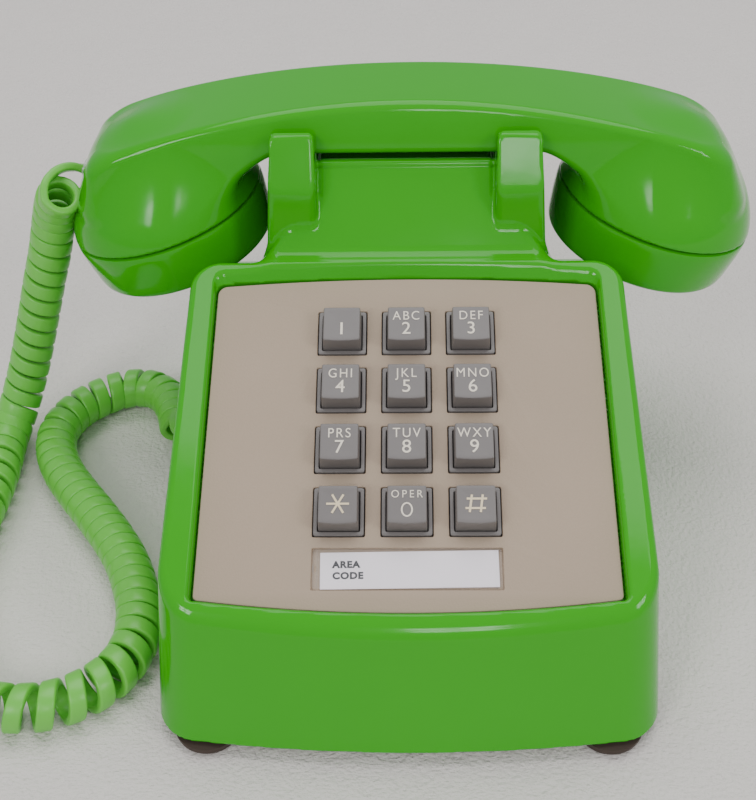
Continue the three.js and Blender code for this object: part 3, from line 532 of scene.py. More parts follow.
def onto_slope(made):
    """Moves a piece made flat at the keypad's centre onto the slope of the faceplate."""
    turn = Matrix.Translation(Vector(KEYPAD) * MM) @ Matrix.Rotation(SLOPE, 4, "X")
    made.data.transform(turn)
    return made


def shift(made, x, y, z, turn=None):
    """Turns a piece's mesh, then moves it by millimetres."""
    if turn is not None:
        made.data.transform(turn)
    made.data.transform(Matrix.Translation(Vector((x, y, z)) * MM))
    return made


# ---------- moulded shapes as signed distances, in millimetres ----------
def both(a, b, r=0.0):
    """Inside a and b, with their edge rounded to a radius."""
    if np.ndim(r) == 0 and r == 0:
        return np.maximum(a, b)
    return np.minimum(-r, np.maximum(a, b)) + np.hypot(np.maximum(a + r, 0), np.maximum(b + r, 0))


def either(a, b, r=0.0):
    """Inside a or b, with a hollow fillet where they meet."""
    return -both(-a, -b, r)


def outline(u, v, points, r=0.0):
    """Signed distance to a closed outline, counter-clockwise, whose outer corners are rounded to r."""
    corner = np.array(points, float)
    if r:
        before = corner - np.roll(corner, 1, 0)
        after = np.roll(corner, -1, 0) - corner
        n1 = np.stack([before[:, 1], -before[:, 0]], 1) / np.hypot(*before.T)[:, None]
        n2 = np.stack([after[:, 1], -after[:, 0]], 1) / np.hypot(*after.T)[:, None]
        corner = corner - r * (n1 + n2) / (1 + (n1 * n2).sum(1))[:, None]
    best = np.full(u.shape, np.inf)
    inside = np.zeros(u.shape, bool)
    for (ax, ay), (bx, by) in zip(corner, np.roll(corner, -1, 0)):
        ex, ey = bx - ax, by - ay
        du, dv = u - ax, v - ay
        along = np.clip((du * ex + dv * ey) / (ex * ex + ey * ey), 0, 1)
        best = np.minimum(best, (du - ex * along) ** 2 + (dv - ey * along) ** 2)
        crosses = (ay > v) != (by > v)
        if ey:
            inside ^= crosses & (u < ax + ex * (v - ay) / ey)
    return np.where(inside, -1, 1) * np.sqrt(best) - r


def block(p, low, high, r=0.0):
    """Signed distance to a box with rounded edges."""
    low, high = np.array(low, float), np.array(high, float)
    away = np.abs(p - (low + high) / 2) - (high - low) / 2 + r
    return np.minimum(away.max(1), 0) + np.linalg.norm(np.maximum(away, 0), axis=1) - r


def rod(p, a, b, r):
    """Signed distance to a round bar with round ends."""
    a, b = np.array(a, float), np.array(b, float)
    along = np.clip(((p - a) @ (b - a)) / ((b - a) @ (b - a)), 0, 1)
    return np.linalg.norm(p - a - along[:, None] * (b - a), axis=1) - r


BLOCK = 4    # grid points along each side of the blocks that are skipped away from the surface


def skin(shape, low, high, step):
    """Points, quads and normals of the surface where shape is zero."""
    low = np.array(low, float)
    count = (np.ceil((np.array(high) - low) / step / BLOCK).astype(int) + 1) * BLOCK
    axes = [low[i] + step * np.arange(count[i]) for i in range(3)]
    middles = [a.reshape(-1, BLOCK).mean(1) for a in axes]
    lattice = np.stack(np.meshgrid(*middles, indexing="ij"), -1)
    coarse = shape(lattice.reshape(-1, 3)).reshape(lattice.shape[:3])
    field = coarse.repeat(BLOCK, 0).repeat(BLOCK, 1).repeat(BLOCK, 2)
    near = np.argwhere(np.abs(coarse) < BLOCK * step * 1.6)
    spots = step * (np.stack(np.meshgrid(*[np.arange(BLOCK)] * 3, indexing="ij"), -1).reshape(-1, 3)
                    - (BLOCK - 1) / 2)
    values = np.concatenate([shape((lattice[tuple(part.T)][:, None] + spots).reshape(-1, 3))
                             for part in np.array_split(near, len(near) // 4000 + 1)])
    blocks = field.reshape(count[0] // BLOCK, BLOCK, count[1] // BLOCK, BLOCK, count[2] // BLOCK, BLOCK)
    blocks[near[:, 0], :, near[:, 1], :, near[:, 2], :] = values.reshape(-1, BLOCK, BLOCK, BLOCK)
    inside = field < 0
    corners = np.stack(np.meshgrid([0, 1], [0, 1], [0, 1], indexing="ij"), -1).reshape(-1, 3)
    cells = 0
    for c in corners:
        stop = count - 1 + c
        cells = cells + inside[c[0]:stop[0], c[1]:stop[1], c[2]:stop[2]].astype(int)
    active = np.argwhere((cells > 0) & (cells < 8))
    number = np.full(cells.shape, -1)
    number[tuple(active.T)] = np.arange(len(active))
    total = np.zeros((len(active), 3))
    hits = np.zeros(len(active))
    for c in corners:
        for axis in range(3):
            if c[axis]:
                continue
            far = c.copy()
            far[axis] = 1
            a = field[tuple((active + c).T)]
            b = field[tuple((active + far).T)]
            crossed = (a < 0) != (b < 0)
            share = np.where(crossed, a / np.where(crossed, a - b, 1), 0)
            total += crossed[:, None] * (c + share[:, None] * (far - c))
            hits += crossed
    verts = low + step * (active + total / hits[:, None])
    quads = []
    for axis in range(3):
        near_end = [slice(1, -1)] * 3
        far_end = [slice(1, -1)] * 3
        near_end[axis], far_end[axis] = slice(0, -1), slice(1, None)
        a, b = inside[tuple(near_end)], inside[tuple(far_end)]
        spot = np.argwhere(a != b)
        leaves = a[tuple(spot.T)]
        offset = np.ones(3, int)
        offset[axis] = 0
        spot = spot + offset
        u, v = (axis + 1) % 3, (axis + 2) % 3
        around = []
        for du, dv in ((0, 0), (-1, 0), (-1, -1), (0, -1)):
            cell = spot.copy()
            cell[:, u] += du
            cell[:, v] += dv
            around.append(number[tuple(cell.T)])
        around = np.stack(around, 1)
        around[~leaves] = around[~leaves][:, ::-1]
        quads.append(around)
    quads = np.concatenate(quads)
    for _ in range(4):
        slope = gradient(shape, verts)
        fall = shape(verts)[:, None] * slope / np.maximum((slope ** 2).sum(1), 0.2)[:, None]
        verts = verts - np.clip(fall, -step, step)
    slope = gradient(shape, verts)
    return verts, quads, slope / np.linalg.norm(slope, axis=1)[:, None]


def gradient(shape, p, reach=0.05):
    """Slope of a shape's distance along the three axes."""
    steps = reach * np.eye(3)
    return np.stack([shape(p + d) - shape(p - d) for d in steps], 1) / (2 * reach)


def moulded(name, shape, low, high, step, *finishes):
    """A piece whose surface is the zero level of a shape, shaded with the shape's own normals."""
    verts, quads, normals = skin(shape, low, high, step)
    made = piece(name, verts, quads.tolist(), *finishes)
    if len(made.data.vertices) == len(normals):
        made.data.normals_split_custom_set_from_vertices(normals.tolist())
    return made


def on_slope(p):
    """Position up the slope and height above the faceplate."""
    y, z = p[:, 1] - KEYPAD[1], p[:, 2] - KEYPAD[2]
    return math.cos(SLOPE) * y + math.sin(SLOPE) * z, math.cos(SLOPE) * z - math.sin(SLOPE) * y


def body_plan(p):
    """The drafted sides, leaning front and back of the body, with their upright corners rounded."""
    x, y, z = p.T
    up = z - BODY_Z0
    sides = (np.abs(x) - BODY_HALF_W + SIDE_DRAFT * up) / math.hypot(1, SIDE_DRAFT)
    bow = FRONT_BOW * np.minimum((x / (BODY_HALF_W - 11)) ** 2, 1.4)
    front = (-y - BODY_LENGTH + bow + FRONT_LEAN * up) / math.hypot(1, FRONT_LEAN)
    back = y - BODY_LENGTH + REAR_LEAN * up
    return both(sides, np.maximum(front, back), 11)


def neck(p):
    """Neck of the cradle, which widens in front towards the shoulders."""
    x, y, z = p.T
    flare = 9 * np.clip((91.5 - z) / 13.5, 0, 1.3) * np.clip((34 - y) / 14, 0, 1)
    side = outline(y, z, NECK_SIDE, 1.5)
    width = np.clip(np.abs(x) - flare, 0, None)
    crown = outline(width, z, NECK_CROWN, 3)
    return both(side, crown, 2)


def prongs(p):
    """The four prongs, with the seat of the handset between the front and the rear ones."""
    x, y, z = p.T
    side = outline(y, z, PRONG_SIDE, 1.6)
    seat = np.maximum(np.maximum(SEAT_FRONT - y, y - SEAT_BACK), SEAT_Z - z)
    front = outline(np.abs(x), z, PRONG_FRONT, 1.5)
    return both(both(side, front, 2), -seat, 1.2)


POCKET_SIDE = [(69, 81), (74, 73), (130, 73), (130, 104), (72, 104), (69, 98)]
POCKET_HALF_W = 25


def finger_pocket(p, grow=0.0):
    """Room for the fingers in the back of the neck; grow gives the wall round it."""
    x, y, z = p.T
    side = outline(y, z, POCKET_SIDE) - grow
    return both(side, np.abs(x) - POCKET_HALF_W - grow, 3)


def body(p, rim_round):
    """Rim, body and shoulders; returns their joined outside and the room inside them."""
    plan = body_plan(p)
    up_slope, height = on_slope(p)
    deck = outline(p[:, 1], p[:, 2], DECK, 3)
    rim_plan = both(plan, up_slope - RIM_TOP, 9)
    wedge = both(rim_plan, height - RIM_UP, rim_round)
    shoulders = both(plan, deck, 5)
    room = np.minimum(np.maximum(rim_plan + WALL, height + 4.6), shoulders + WALL)
    return either(wedge, shoulders, 4), room


def plate_recess(p):
    """Bed of the faceplate, with a bevelled upper lip."""
    up_slope, height = on_slope(p)
    x = np.abs(p[:, 0])
    share = (up_slope - PLATE_BOTTOM) / (PLATE_TOP - PLATE_BOTTOM)
    half = PLATE_BOTTOM_HALF + (PLATE_TOP_HALF - PLATE_BOTTOM_HALF) * share + 0.6
    lip = 1.3 * np.clip(height, 0, None)
    curve = np.clip(1 - (x / PLATE_TOP_HALF) ** 2, 0, 1)
    top = up_slope - PLATE_TOP - 0.6 - lip - PLATE_TOP_BOW * curve
    bottom = PLATE_BOTTOM - 0.6 - PLATE_BOTTOM_BOW * curve - up_slope
    sides = x - half - 0.25 * np.clip(height, 0, None)
    return np.maximum(both(both(sides, top, 3), bottom, 1.6), -(height + PLATE_T + 0.3))


KEYPAD_OPENING = ((-50, -46, -12), (50, 42, 1))    # on the slope, from the keypad's centre


def housing_shape(rim_round):
    """The whole moulded housing, hollow, with its openings and screw bosses."""
    def shape(p):
        x, y, z = p.T
        outside, room = body(p, rim_round)
        throat = neck(p)
        whole = either(either(outside, throat, 5), prongs(p), 1.2)
        hollow = np.maximum(np.minimum(room, throat + WALL), -finger_pocket(p, WALL))
        shell = both(both(whole, BODY_Z0 - z, 0.8), -finger_pocket(p), 2)
        shell = both(shell, -hollow)
        shell = both(shell, -plate_recess(p), 0.9)
        up_slope, height = on_slope(p)
        holes = [block(np.stack([x, up_slope, height], 1), *KEYPAD_OPENING, 1)]
        wide = PLUNGER_W / 2 + 0.5
        aside = np.stack([np.abs(x) - PLUNGER_X, y - AXIS_Y, z], 1)
        holes.append(block(aside, (-wide, -wide, 90), (wide, wide, 125), 1))
        holes.append(block(aside, (-6.4, -6.4, 88), (6.4, 6.4, 107.3), 0.5))
        holes.append(block(p, (-80, JACK_Y - JACK_W / 2, JACK_Z - JACK_H / 2),
                           (-60, JACK_Y + JACK_W / 2, JACK_Z + JACK_H / 2), 0.6))
        holes.append(block(p, (LINE_X - LINE_W / 2, 90, LINE_Z - LINE_H / 2),
                           (LINE_X + LINE_W / 2, 110, LINE_Z + LINE_H / 2), 0.6))
        for hole in holes:
            shell = both(shell, -hole, 0.8)
        from_boss = np.stack([np.abs(x) - BOSS_X, y - BOSS_Y, z], 1)
        boss = rod(from_boss, (0, 0, 14), (0, 0, 60), 4.5)
        boss = np.maximum(boss, -rod(from_boss, (0, 0, 0), (0, 0, 30), 1.7))
        return np.minimum(shell, np.maximum(boss, room + WALL / 2))
    return shape


def dome(across, height, radius, rise, power=1.55):
    """Signed distance, near the surface, to a rounded dome that stands on its rim."""
    u = np.maximum(across / radius, 1e-4)
    v = np.maximum(height / rise, 1e-4)
    level = (u ** power + v ** power) ** (1 / power)
    du = level ** (1 - power) * u ** (power - 1) / radius
    dv = level ** (1 - power) * v ** (power - 1) / rise
    return (level - 1) / np.hypot(du, dv)


def in_cup(p):
    """Distance from a cup's axis and height above its seam; both cups fold onto the right one."""
    x = np.abs(p[:, 0] - HANDSET_X) - CUP_X
    z = p[:, 2] - CUP_Z
    height = math.sin(CUP_TILT) * x + math.cos(CUP_TILT) * z
    aside = math.cos(CUP_TILT) * x - math.sin(CUP_TILT) * z
    return np.hypot(aside, p[:, 1] - AXIS_Y), height


HANDLE_TOP, HANDLE_UNDER, HANDLE_HALF_W = 133, 117.5, 16
TOP_FALL = 0.00172                        # how fast the top of the handle falls towards its ends
CUP_FALL = 21.5                           # how far the underside drops into the cups
FALL_X, FALL_LENGTH = 38, 36              # where that drop starts, and how long it is
END_SLANT = 0.47                          # the ends lean in by this much per millimetre of height
END_LEFT, END_RIGHT = 140.8, 138.9        # square distance of each slanted end from the middle, at the table
END_X = 106.8                             # below the slant the ends stand upright, this far out


def handset_shape(crease, blend):
    """The handset's arched handle and two cups, hollow, with the opening of its socket."""
    def shape(p):
        x = np.abs(p[:, 0] - HANDSET_X)
        y = np.abs(p[:, 1] - AXIS_Y)
        z = p[:, 2]
        crown = HANDLE_TOP - TOP_FALL * x ** 2 - 6e-9 * x ** 4
        top = (z - crown) / np.hypot(1, 2 * TOP_FALL * x)
        drop = np.clip((x - FALL_X) / FALL_LENGTH, 0, 1)
        under = HANDLE_UNDER - CUP_FALL * drop ** 2 * (3 - 2 * drop)
        below = (under - z) / np.hypot(1, CUP_FALL / FALL_LENGTH * 6 * drop * (1 - drop))
        spread = 6 * (1 - np.exp(-np.clip(HANDLE_TOP - 1 - z, -2, 60) / 12.7))
        side = (y - HANDLE_HALF_W - spread) * 0.94
        lean = (x + END_SLANT * z) / 1.105 - np.where(p[:, 0] < HANDSET_X, END_LEFT, END_RIGHT)
        end = both(lean, x - END_X, 8)
        soft = np.clip((x - 72) / 30, 0, 1)
        walls = both(side, end, 9)
        bar = both(both(top, walls, crease + 3 * soft * soft), below, 3)
        across, height = in_cup(p)
        cups = np.maximum(dome(across, height, CUP_R, 30), -height)
        fillet = 4 + (blend - 4) * np.clip((98 - x) / 24, 0, 1)
        solid = both(either(bar, cups, fillet), 0.3 - height, 0.9)
        hollow = np.maximum(dome(across, height + 4, 29.6, 25), -height - 4)
        wires = np.minimum(rod(np.stack([x, y, z], 1), (0, 0, 124), (44, 0, 123), 4),
                           rod(np.stack([x, y, z], 1), (44, 0, 123), (76, 0, 104), 4))
        x0, jack_z, wide, tall, deep = HANDSET_JACK
        left = np.stack([p[:, 0] - HANDSET_X, p[:, 1], z], 1)
        jack = block(left, (x0 - 12, AXIS_Y - wide / 2, jack_z - tall / 2),
                     (x0 + deep + 0.3, AXIS_Y + wide / 2, jack_z + tall / 2), 0.8)
        return both(both(solid, -np.minimum(hollow, wires)), -jack, 0.5)
    return shape


# ---------- cord ----------
def smooth_line(points, per_span):
    """Points along a smooth curve through the given ones."""
    p = np.array(points, float)
    p = np.concatenate([[2 * p[0] - p[1]], p, [2 * p[-1] - p[-2]]])
    t = np.arange(per_span)[:, None] / per_span
    spans = []
    for a, b, c, d in zip(p[:-3], p[1:-2], p[2:-1], p[3:]):
        spans.append(0.5 * (2 * b + (c - a) * t + (2 * a - 5 * b + 4 * c - d) * t ** 2
                            + (3 * b - a - 3 * c + d) * t ** 3))
    return np.concatenate(spans + [p[-2:-1]])


def distances(points):
    """Length of a line up to each of its points."""
    return np.concatenate([[0], np.cumsum(np.linalg.norm(np.diff(points, axis=0), axis=1))])


def unit(v):
    return v / np.linalg.norm(v, axis=-1, keepdims=True)


def carried(first, tangents):
    """A direction carried along a curve without twisting."""
    out = [unit(first - tangents[0] * (first @ tangents[0]))]
    for t in tangents[1:]:
        out.append(unit(out[-1] - t * (out[-1] @ t)))
    return np.array(out)


TURN_STEPS = 24    # points along each turn of the coil
AXIS_STEPS = 12    # points along the coil's axis between two points of its route


def cord_path(sizes):
    """Middle line of the whole cord and the direction of its thickness, in millimetres."""
    axis = smooth_line(COIL_ROUTE, AXIS_STEPS)
    along = distances(axis)
    tangents = unit(np.gradient(axis, axis=0))
    out = carried(np.array([-0.8, 0.2, 0.5]), tangents)
    third = np.cross(out, tangents)
    tight, loose = sizes.pitch_tight / MM, sizes.pitch_loose / MM
    spot, pulled = np.array(STRETCH).T
    pitch = tight + (loose - tight) * np.interp(np.arange(len(axis)) / AXIS_STEPS, spot, pulled)
    phase = np.concatenate([[0], np.cumsum(np.diff(along) * (1 / pitch[1:] + 1 / pitch[:-1]) / 2)])
    leave = np.array(BASE_TAIL[0]) - axis[-1]
    last = math.atan2(leave @ third[-1], leave @ out[-1]) / (2 * math.pi)
    whole = round(phase[-1] - last) + last
    phase *= whole / phase[-1]
    steps = np.arange(0, round(whole * TURN_STEPS) + 1) / TURN_STEPS
    at = np.interp(steps, phase, along)
    turn = 2 * math.pi * steps[:, None]
    pick = [np.stack([np.interp(at, along, column) for column in field.T], 1) for field in (axis, out, third)]
    radial = unit(np.cos(turn) * pick[1] + np.sin(turn) * pick[2])
    coil = pick[0] + sizes.coil_radius / MM * radial
    head = smooth_line(HANDSET_TAIL + [coil[0], coil[2]], 4)[:-5]
    tail = smooth_line([coil[-3], coil[-1]] + BASE_TAIL[1:], 4)[5:]
    line = np.concatenate([head, coil, tail])
    upright = np.array([0.0, 0, 1])
    away = unit(head - ARC_CENTRE)
    away[:, 1] = ARC_LEAN * away[:, 2]
    share = np.linspace(0, 3, len(head)).clip(0, 1)[:, None]
    head_thick = (1 - share) * upright + share * away
    share = np.linspace(1, -0.3, len(tail)).clip(0)[:, None]
    tail_thick = (1 - share) * upright + share * radial[-1]
    thick = np.concatenate([head_thick, radial, tail_thick])
    ends = np.zeros(len(line))
    ends[len(head) - 5:len(head) + 4] = 1
    ends[-len(tail) - 4:-len(tail) + 5] = 1
    for _ in range(6):
        middle = (line[:-2] + line[2:]) / 2
        line[1:-1] += 0.5 * ends[1:-1, None] * (middle - line[1:-1])
        blurred = (thick[:-2] + thick[2:]) / 2
        thick[1:-1] += 0.5 * ends[1:-1, None] * (blurred - thick[1:-1])
    return line, thick


def band(line, thick, width, thickness, corner=0.75):
    """Skin of a flat cord with rounded edges along a line."""
    tangents = unit(np.gradient(line, axis=0))
    thin = unit(thick - tangents * (thick * tangents).sum(1)[:, None])
    wide = np.cross(tangents, thin)
    section = []
    for sx, sy, start in ((1, 1, 0), (-1, 1, 90), (-1, -1, 180), (1, -1, 270)):
        for i in range(4):
            turn = math.radians(start + 30 * i)
            section.append((sx * (width / 2 - corner) + corner * math.cos(turn),
                            sy * (thickness / 2 - corner) + corner * math.sin(turn)))
    across, through = np.array(section).T
    rings = line[:, None] + across[:, None] * wide[:, None] + through[:, None] * thin[:, None]
    return loft(list(rings))


def make_cord(sizes):
    line, thick = cord_path(sizes)
    verts, faces = band(line, thick, sizes.band_width / MM, sizes.band_thickness / MM)
    made = piece("handset_cord", verts, faces, "green_cord")
    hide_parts("cord_tail_handset", "cord_coil", "cord_tail_base")
    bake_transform(made)
    return made, line


HANDSET_PLUG_X = HANDSET_JACK[0] - 2.6 + HANDSET_X    # where the cord enters each plug
BASE_PLUG_X = -77.8
LYING = Matrix(((0, 0, 1, 0), (1, 0, 0, 0), (0, 1, 0, 0), (0, 0, 0, 1)))    # turns a piece's Z to X
CONTACT_PITCH = 1.02                      # between the contacts of a modular plug


def make_plug(name, node, x0, y, z, body_name):
    """Clear modular plug with its latch, gilded contacts and the jacket's end showing inside."""
    rings = [ring(3.4, 2.4, 0.5, 0), ring(3.8, 2.8, 0.6, 0.4), ring(3.8, 2.8, 0.6, 6.2),
             ring(3.7, 2.7, 0.5, 10.2), ring(3.3, 2.3, 0.4, 10.5)]
    shell = piece(name, *loft(rings), "clear_plug", "contact_gold", "green_cord")
    sharpen(shell)
    shift(shell, x0, y, z + 0.6, LYING)
    latch = piece("latch", *loft([ring(1.5, 0.35, 0.2, 0), ring(1.6, 0.45, 0.3, 3), ring(1.3, 0.5, 0.3, 6.5),
                                  ring(1.1, 0.4, 0.2, 9.6)]), "clear_plug")
    sharpen(latch)
    shift(latch, x0 - 0.4, y, z - 3.0, LYING)
    parts = [shell, latch]
    for i in range(4):
        pin = piece("pin", *loft([ring(0.18, 0.9, 0.1, 0), ring(0.18, 0.9, 0.1, 2.6)]), "contact_gold")
        shift(pin, x0 + 7.6, y - 1.5 + i * CONTACT_PITCH, z + 2.7, LYING)
        parts.append(pin)
    made = merge(name, parts)
    return settle(made, body_name, "clear_plug", node)


# ---------- housing, faceplate and keys ----------
def make_housing(sizes):
    low, high = (np.array(c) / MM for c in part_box("housing"))
    made = moulded("moulded_housing", housing_shape(sizes.rim_round / MM), low - 2, high + 2,
                   sizes.shell_step / MM, "green_shell")
    return settle(made, "root", "green_shell", "housing")


def plate_edge():
    """Outline of the faceplate with its bowed upper and lower edges and rounded corners."""
    points = []
    upper, lower = 3.0, 1.4    # roundings of its corners
    reach = PLATE_BOTTOM_HALF - lower
    for i in range(25):
        u = i / 12 - 1
        points.append((u * reach, PLATE_BOTTOM - PLATE_BOTTOM_BOW * (1 - u * u)))
    for i in range(1, 6):
        turn = math.radians(18 * i - 90)
        points.append((reach + lower * math.cos(turn), PLATE_BOTTOM + lower + lower * math.sin(turn)))
    reach = PLATE_TOP_HALF - upper
    for sx, start in ((1, 0), (-1, 90)):
        for i in range(7):
            turn = math.radians(start + 15 * i)
            points.append((sx * reach + upper * math.cos(turn), PLATE_TOP - upper + upper * math.sin(turn)))
        if sx == 1:
            for i in range(1, 24):
                u = 1 - i / 12
                points.append((u * reach, PLATE_TOP + PLATE_TOP_BOW * (1 - u * u)))
    reach = PLATE_BOTTOM_HALF - lower
    for i in range(5):
        turn = math.radians(180 + 18 * i)
        points.append((lower * math.cos(turn) - reach, PLATE_BOTTOM + lower + lower * math.sin(turn)))
    return points


def key_spots():
    """Middle of each key on the slope."""
    return {name: ((i % 3 - 1) * KEY_PITCH, (1.5 - i // 3) * KEY_PITCH) for i, name in enumerate(KEY_NAMES)}


def rectangle(half_x, half_y, r, centre=(0, 0)):
    return [(x, y) for x, y, _ in ring(half_x, half_y, r, 0, steps=4, centre=centre)]


def make_faceplate():
    """Faceplate with its wells and the bed of the card, the printed card, and the clear window over it."""
    x0, x1, y0, y1 = CARD
    half_x, half_y = (x1 - x0) / 2, (y1 - y0) / 2
    middle = ((x0 + x1) / 2, (y0 + y1) / 2)
    loops = [plate_edge(), rectangle(half_x, half_y, 0.4, middle)]
    loops += [rectangle(WELL_W / 2, WELL_H / 2, 0.5, spot) for spot in key_spots().values()]
    plate = flat_sheet("grained_faceplate", loops, -PLATE_T, 0, 0.3, "faceplate_taupe")
    floor = flat_sheet("bed", [rectangle(half_x + 1, half_y + 1, 0.6, middle)], -PLATE_T - 0.1, -1.5, 0.1,
                       "faceplate_taupe")
    made = sharpen(merge("grained_faceplate", [plate, floor]))
    settle(onto_slope(made), "root", "faceplate_taupe", "faceplate")
    paper = rectangle(half_x - 1.75, half_y - 0.75, 0.2, middle)
    parts = [flat_sheet("printed_card", [paper], -1.2, -0.8, 0.08, "card_paper")]
    for text, y in (("AREA", y1 - 4.4), ("CODE", y1 - 7.6)):
        parts.append(lettering("word", text, 2.6, (x0 + 5.2, y), -0.78, "card_ink", align="LEFT", bold=0.13,
                               widen=1.08, spread=1.14))
    card = merge("printed_card", parts)
    card.data.transform(Matrix.Rotation(math.radians(0.8), 4, "Z"))
    settle(onto_slope(card), "root", "card_paper", "number_card")
    pane = rectangle(half_x - 0.3, half_y - 0.3, 0.5, middle)
    thumb = rectangle(0.5, 0.9, 0.3, (x0 + 0.95, middle[1]))
    window = flat_sheet("clear_card_window", [pane, thumb], -0.5, 0.35, 0.25, "clear_window")
    for x in (x0 + 1.5, x1 - 1.9):
        edge = rectangle(0.18, half_y - 0.6, 0.1, (x, middle[1]))
        rib = flat_sheet("end_rib", [edge], -1.4, -0.5, 0.08, "clear_window")
        window = merge("clear_card_window", [window, rib])
    settle(onto_slope(sharpen(window)), "root", "clear_window", "card_window")


# Letters and digit of each key; the star and the hash are strokes.
LEGENDS = {"1": ("", "1"), "2": ("ABC", "2"), "3": ("DEF", "3"), "4": ("GHI", "4"), "5": ("JKL", "5"),
           "6": ("MNO", "6"), "7": ("PRS", "7"), "8": ("TUV", "8"), "9": ("WXY", "9"), "star": ("", ""),
           "0": ("OPER", "0"), "hash": ("", "")}


def stroke(a, b, width, z):
    """A printed stroke with square ends, from a to b."""
    a, b = np.array(a, float), np.array(b, float)
    along = unit(b - a)
    aside = np.array([-along[1], along[0]]) * width / 2
    corners = [a - aside, b - aside, b + aside, a + aside]
    verts = [(x, y, z) for x, y in corners]
    return piece("stroke", verts, [(0, 1, 2, 3)], "yellowed_legend")


def oval(half_x, half_y, width, z, count=40):
    """A printed oval ring."""
    turns = 2 * math.pi * np.arange(count) / count
    rim = []
    for inset in (0, width):
        rim.append(np.stack([(half_x - inset) * np.cos(turns), (half_y - inset) * np.sin(turns),
                             np.full(count, z)], 1))
    faces = [(i, (i + 1) % count, count + (i + 1) % count, count + i) for i in range(count)]
    return piece("oval", np.concatenate(rim), faces, "legend")


def legend_parts(name, z):
    """Letters above the digit, or the strokes of the star and the hash; the zero is an oval."""
    letters, digit = LEGENDS[name]
    parts = []
    if name == "0":
        parts.append(lettering("letters", letters, 3.2, (0, 2.75), z, "legend", widen=0.9, spread=1.42))
        parts.append(shift(oval(1.65, 2.15, 0.46, z), 0, -1.75, 0))
    elif digit:
        if letters:
            parts.append(lettering("letters", letters, 4.2, (0, 2.3), z, "legend", widen=0.88, spread=1.24))
        bold = 0.07 if digit == "1" else 0.02
        parts.append(lettering("digit", digit, 5.7, (0, -2.0), z, "legend", bold=bold))
    if name == "star":
        for i in range(3):
            turn = math.radians(60 * i)
            reach = np.array([math.cos(turn), math.sin(turn)]) * 3.15
            parts.append(stroke(-reach, reach, 0.6, z + 0.004 * i))
    if name == "hash":
        for s in (-1, 1):
            parts.append(stroke((s * 1.5 - 0.35, -2.6), (s * 1.5 + 0.35, 2.6), 0.62, z))
            parts.append(stroke((s * 0.2 - 2.8, s * 1.4), (s * 0.2 + 2.8, s * 1.4), 0.62, z + 0.004))
    return parts


def make_key(name, spot, key_round):
    """Key top with rounded edges, leaning sides and a bowed front, its stem and its flange."""
    half, r = 5.7, key_round
    rings = [ring(6.6, 6.6, 0.8, -10.5), ring(6.6, 6.6, 0.8, -9.4), ring(3.5, 3.5, 0.5, -9.3),
             ring(3.5, 3.5, 0.5, -5.2), ring(half, half, 0.4, -5.0), ring(half, half, 0.4, 0)]
    top = KEY_UP
    for i in range(6):
        turn = math.radians(18 * i)
        inset = 0.28 + r * (1 - math.cos(turn))
        rings.append(ring(half - inset, half - inset, 0.5, top - r + r * math.sin(turn) - 0.05, arch=0.4))
    for share, dip in ((0.85, 0.03), (0.5, 0.07), (0.2, 0.09)):
        rings.append(ring((half - 0.7) * share, (half - 0.7) * share, 0.5 * share, top - 0.05 - dip,
                          arch=0.4 * share))
    made = piece("cap", *loft(rings), "key_grey", "legend", "yellowed_legend")
    sharpen(made, 40)
    whole = merge(f"printed_key_{name}", [made] + legend_parts(name, top))
    shift(whole, spot[0], spot[1], 0)
    return settle(onto_slope(whole), f"key_{name}", "key_grey", f"key_{name}")


def make_keypad(sizes):
    """Collars in the wells, joined to the tray under the faceplate, and the twelve keys."""
    spots = key_spots()
    bores = [rectangle(5.98, 6.0, 0.4, spot) for spot in spots.values()]
    parts = [flat_sheet("tray", [rectangle(31, 39.5, 2)] + bores, -9, -6.5, 0.3, "key_grey")]
    for spot, bore in zip(spots.values(), bores):
        outer = rectangle(WELL_W / 2 - 0.3, WELL_H / 2 - 0.3, 0.7, spot)
        parts.append(flat_sheet("collar", [outer, bore], -7, 0.25, 0.12, "key_grey"))
    skirt = flat_sheet("skirt", [rectangle(31, 39.5, 2), rectangle(29, 37.5, 1.5)], -15, -7, 0.2, "key_grey")
    frame_piece = sharpen(merge("keypad_collars", parts + [skirt]))
    settle(onto_slope(frame_piece), "root", "key_grey", "keypad_frame")
    for name, spot in spots.items():
        make_key(name, spot, sizes.key_round / MM)


# ---------- handset ----------
def make_handset(sizes):
    low, high = (np.array(c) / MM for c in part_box("handset_shell"))
    made = moulded("moulded_handset", handset_shape(sizes.crease / MM, sizes.blend / MM), low - 4, high + 4,
                   sizes.shell_step / MM, "green_shell")
    settle(made, "handset", "green_shell", "handset_shell")
    for side, node, holes in ((-1, "transmitter_cap", ((1, 0), (6, 6), (12, 12))),
                              (1, "receiver_cap", ((1, 0), (6, 5)))):
        make_cap(side, node, holes)
    x0, z, wide, tall, deep = HANDSET_JACK
    make_socket("handset_socket", "handset_jack_block", wide - 0.6, tall - 0.6, deep, "handset",
                Matrix.Translation(Vector((x0 + HANDSET_X, AXIS_Y, z)) * MM))


def cup_frame(side):
    """Puts a piece made about Z, with its seam at 0, on the axis of a cup."""
    return (Matrix.Translation(Vector((HANDSET_X + side * CUP_X, AXIS_Y, CUP_Z)) * MM)
            @ Matrix.Rotation(side * CUP_TILT, 4, "Y"))


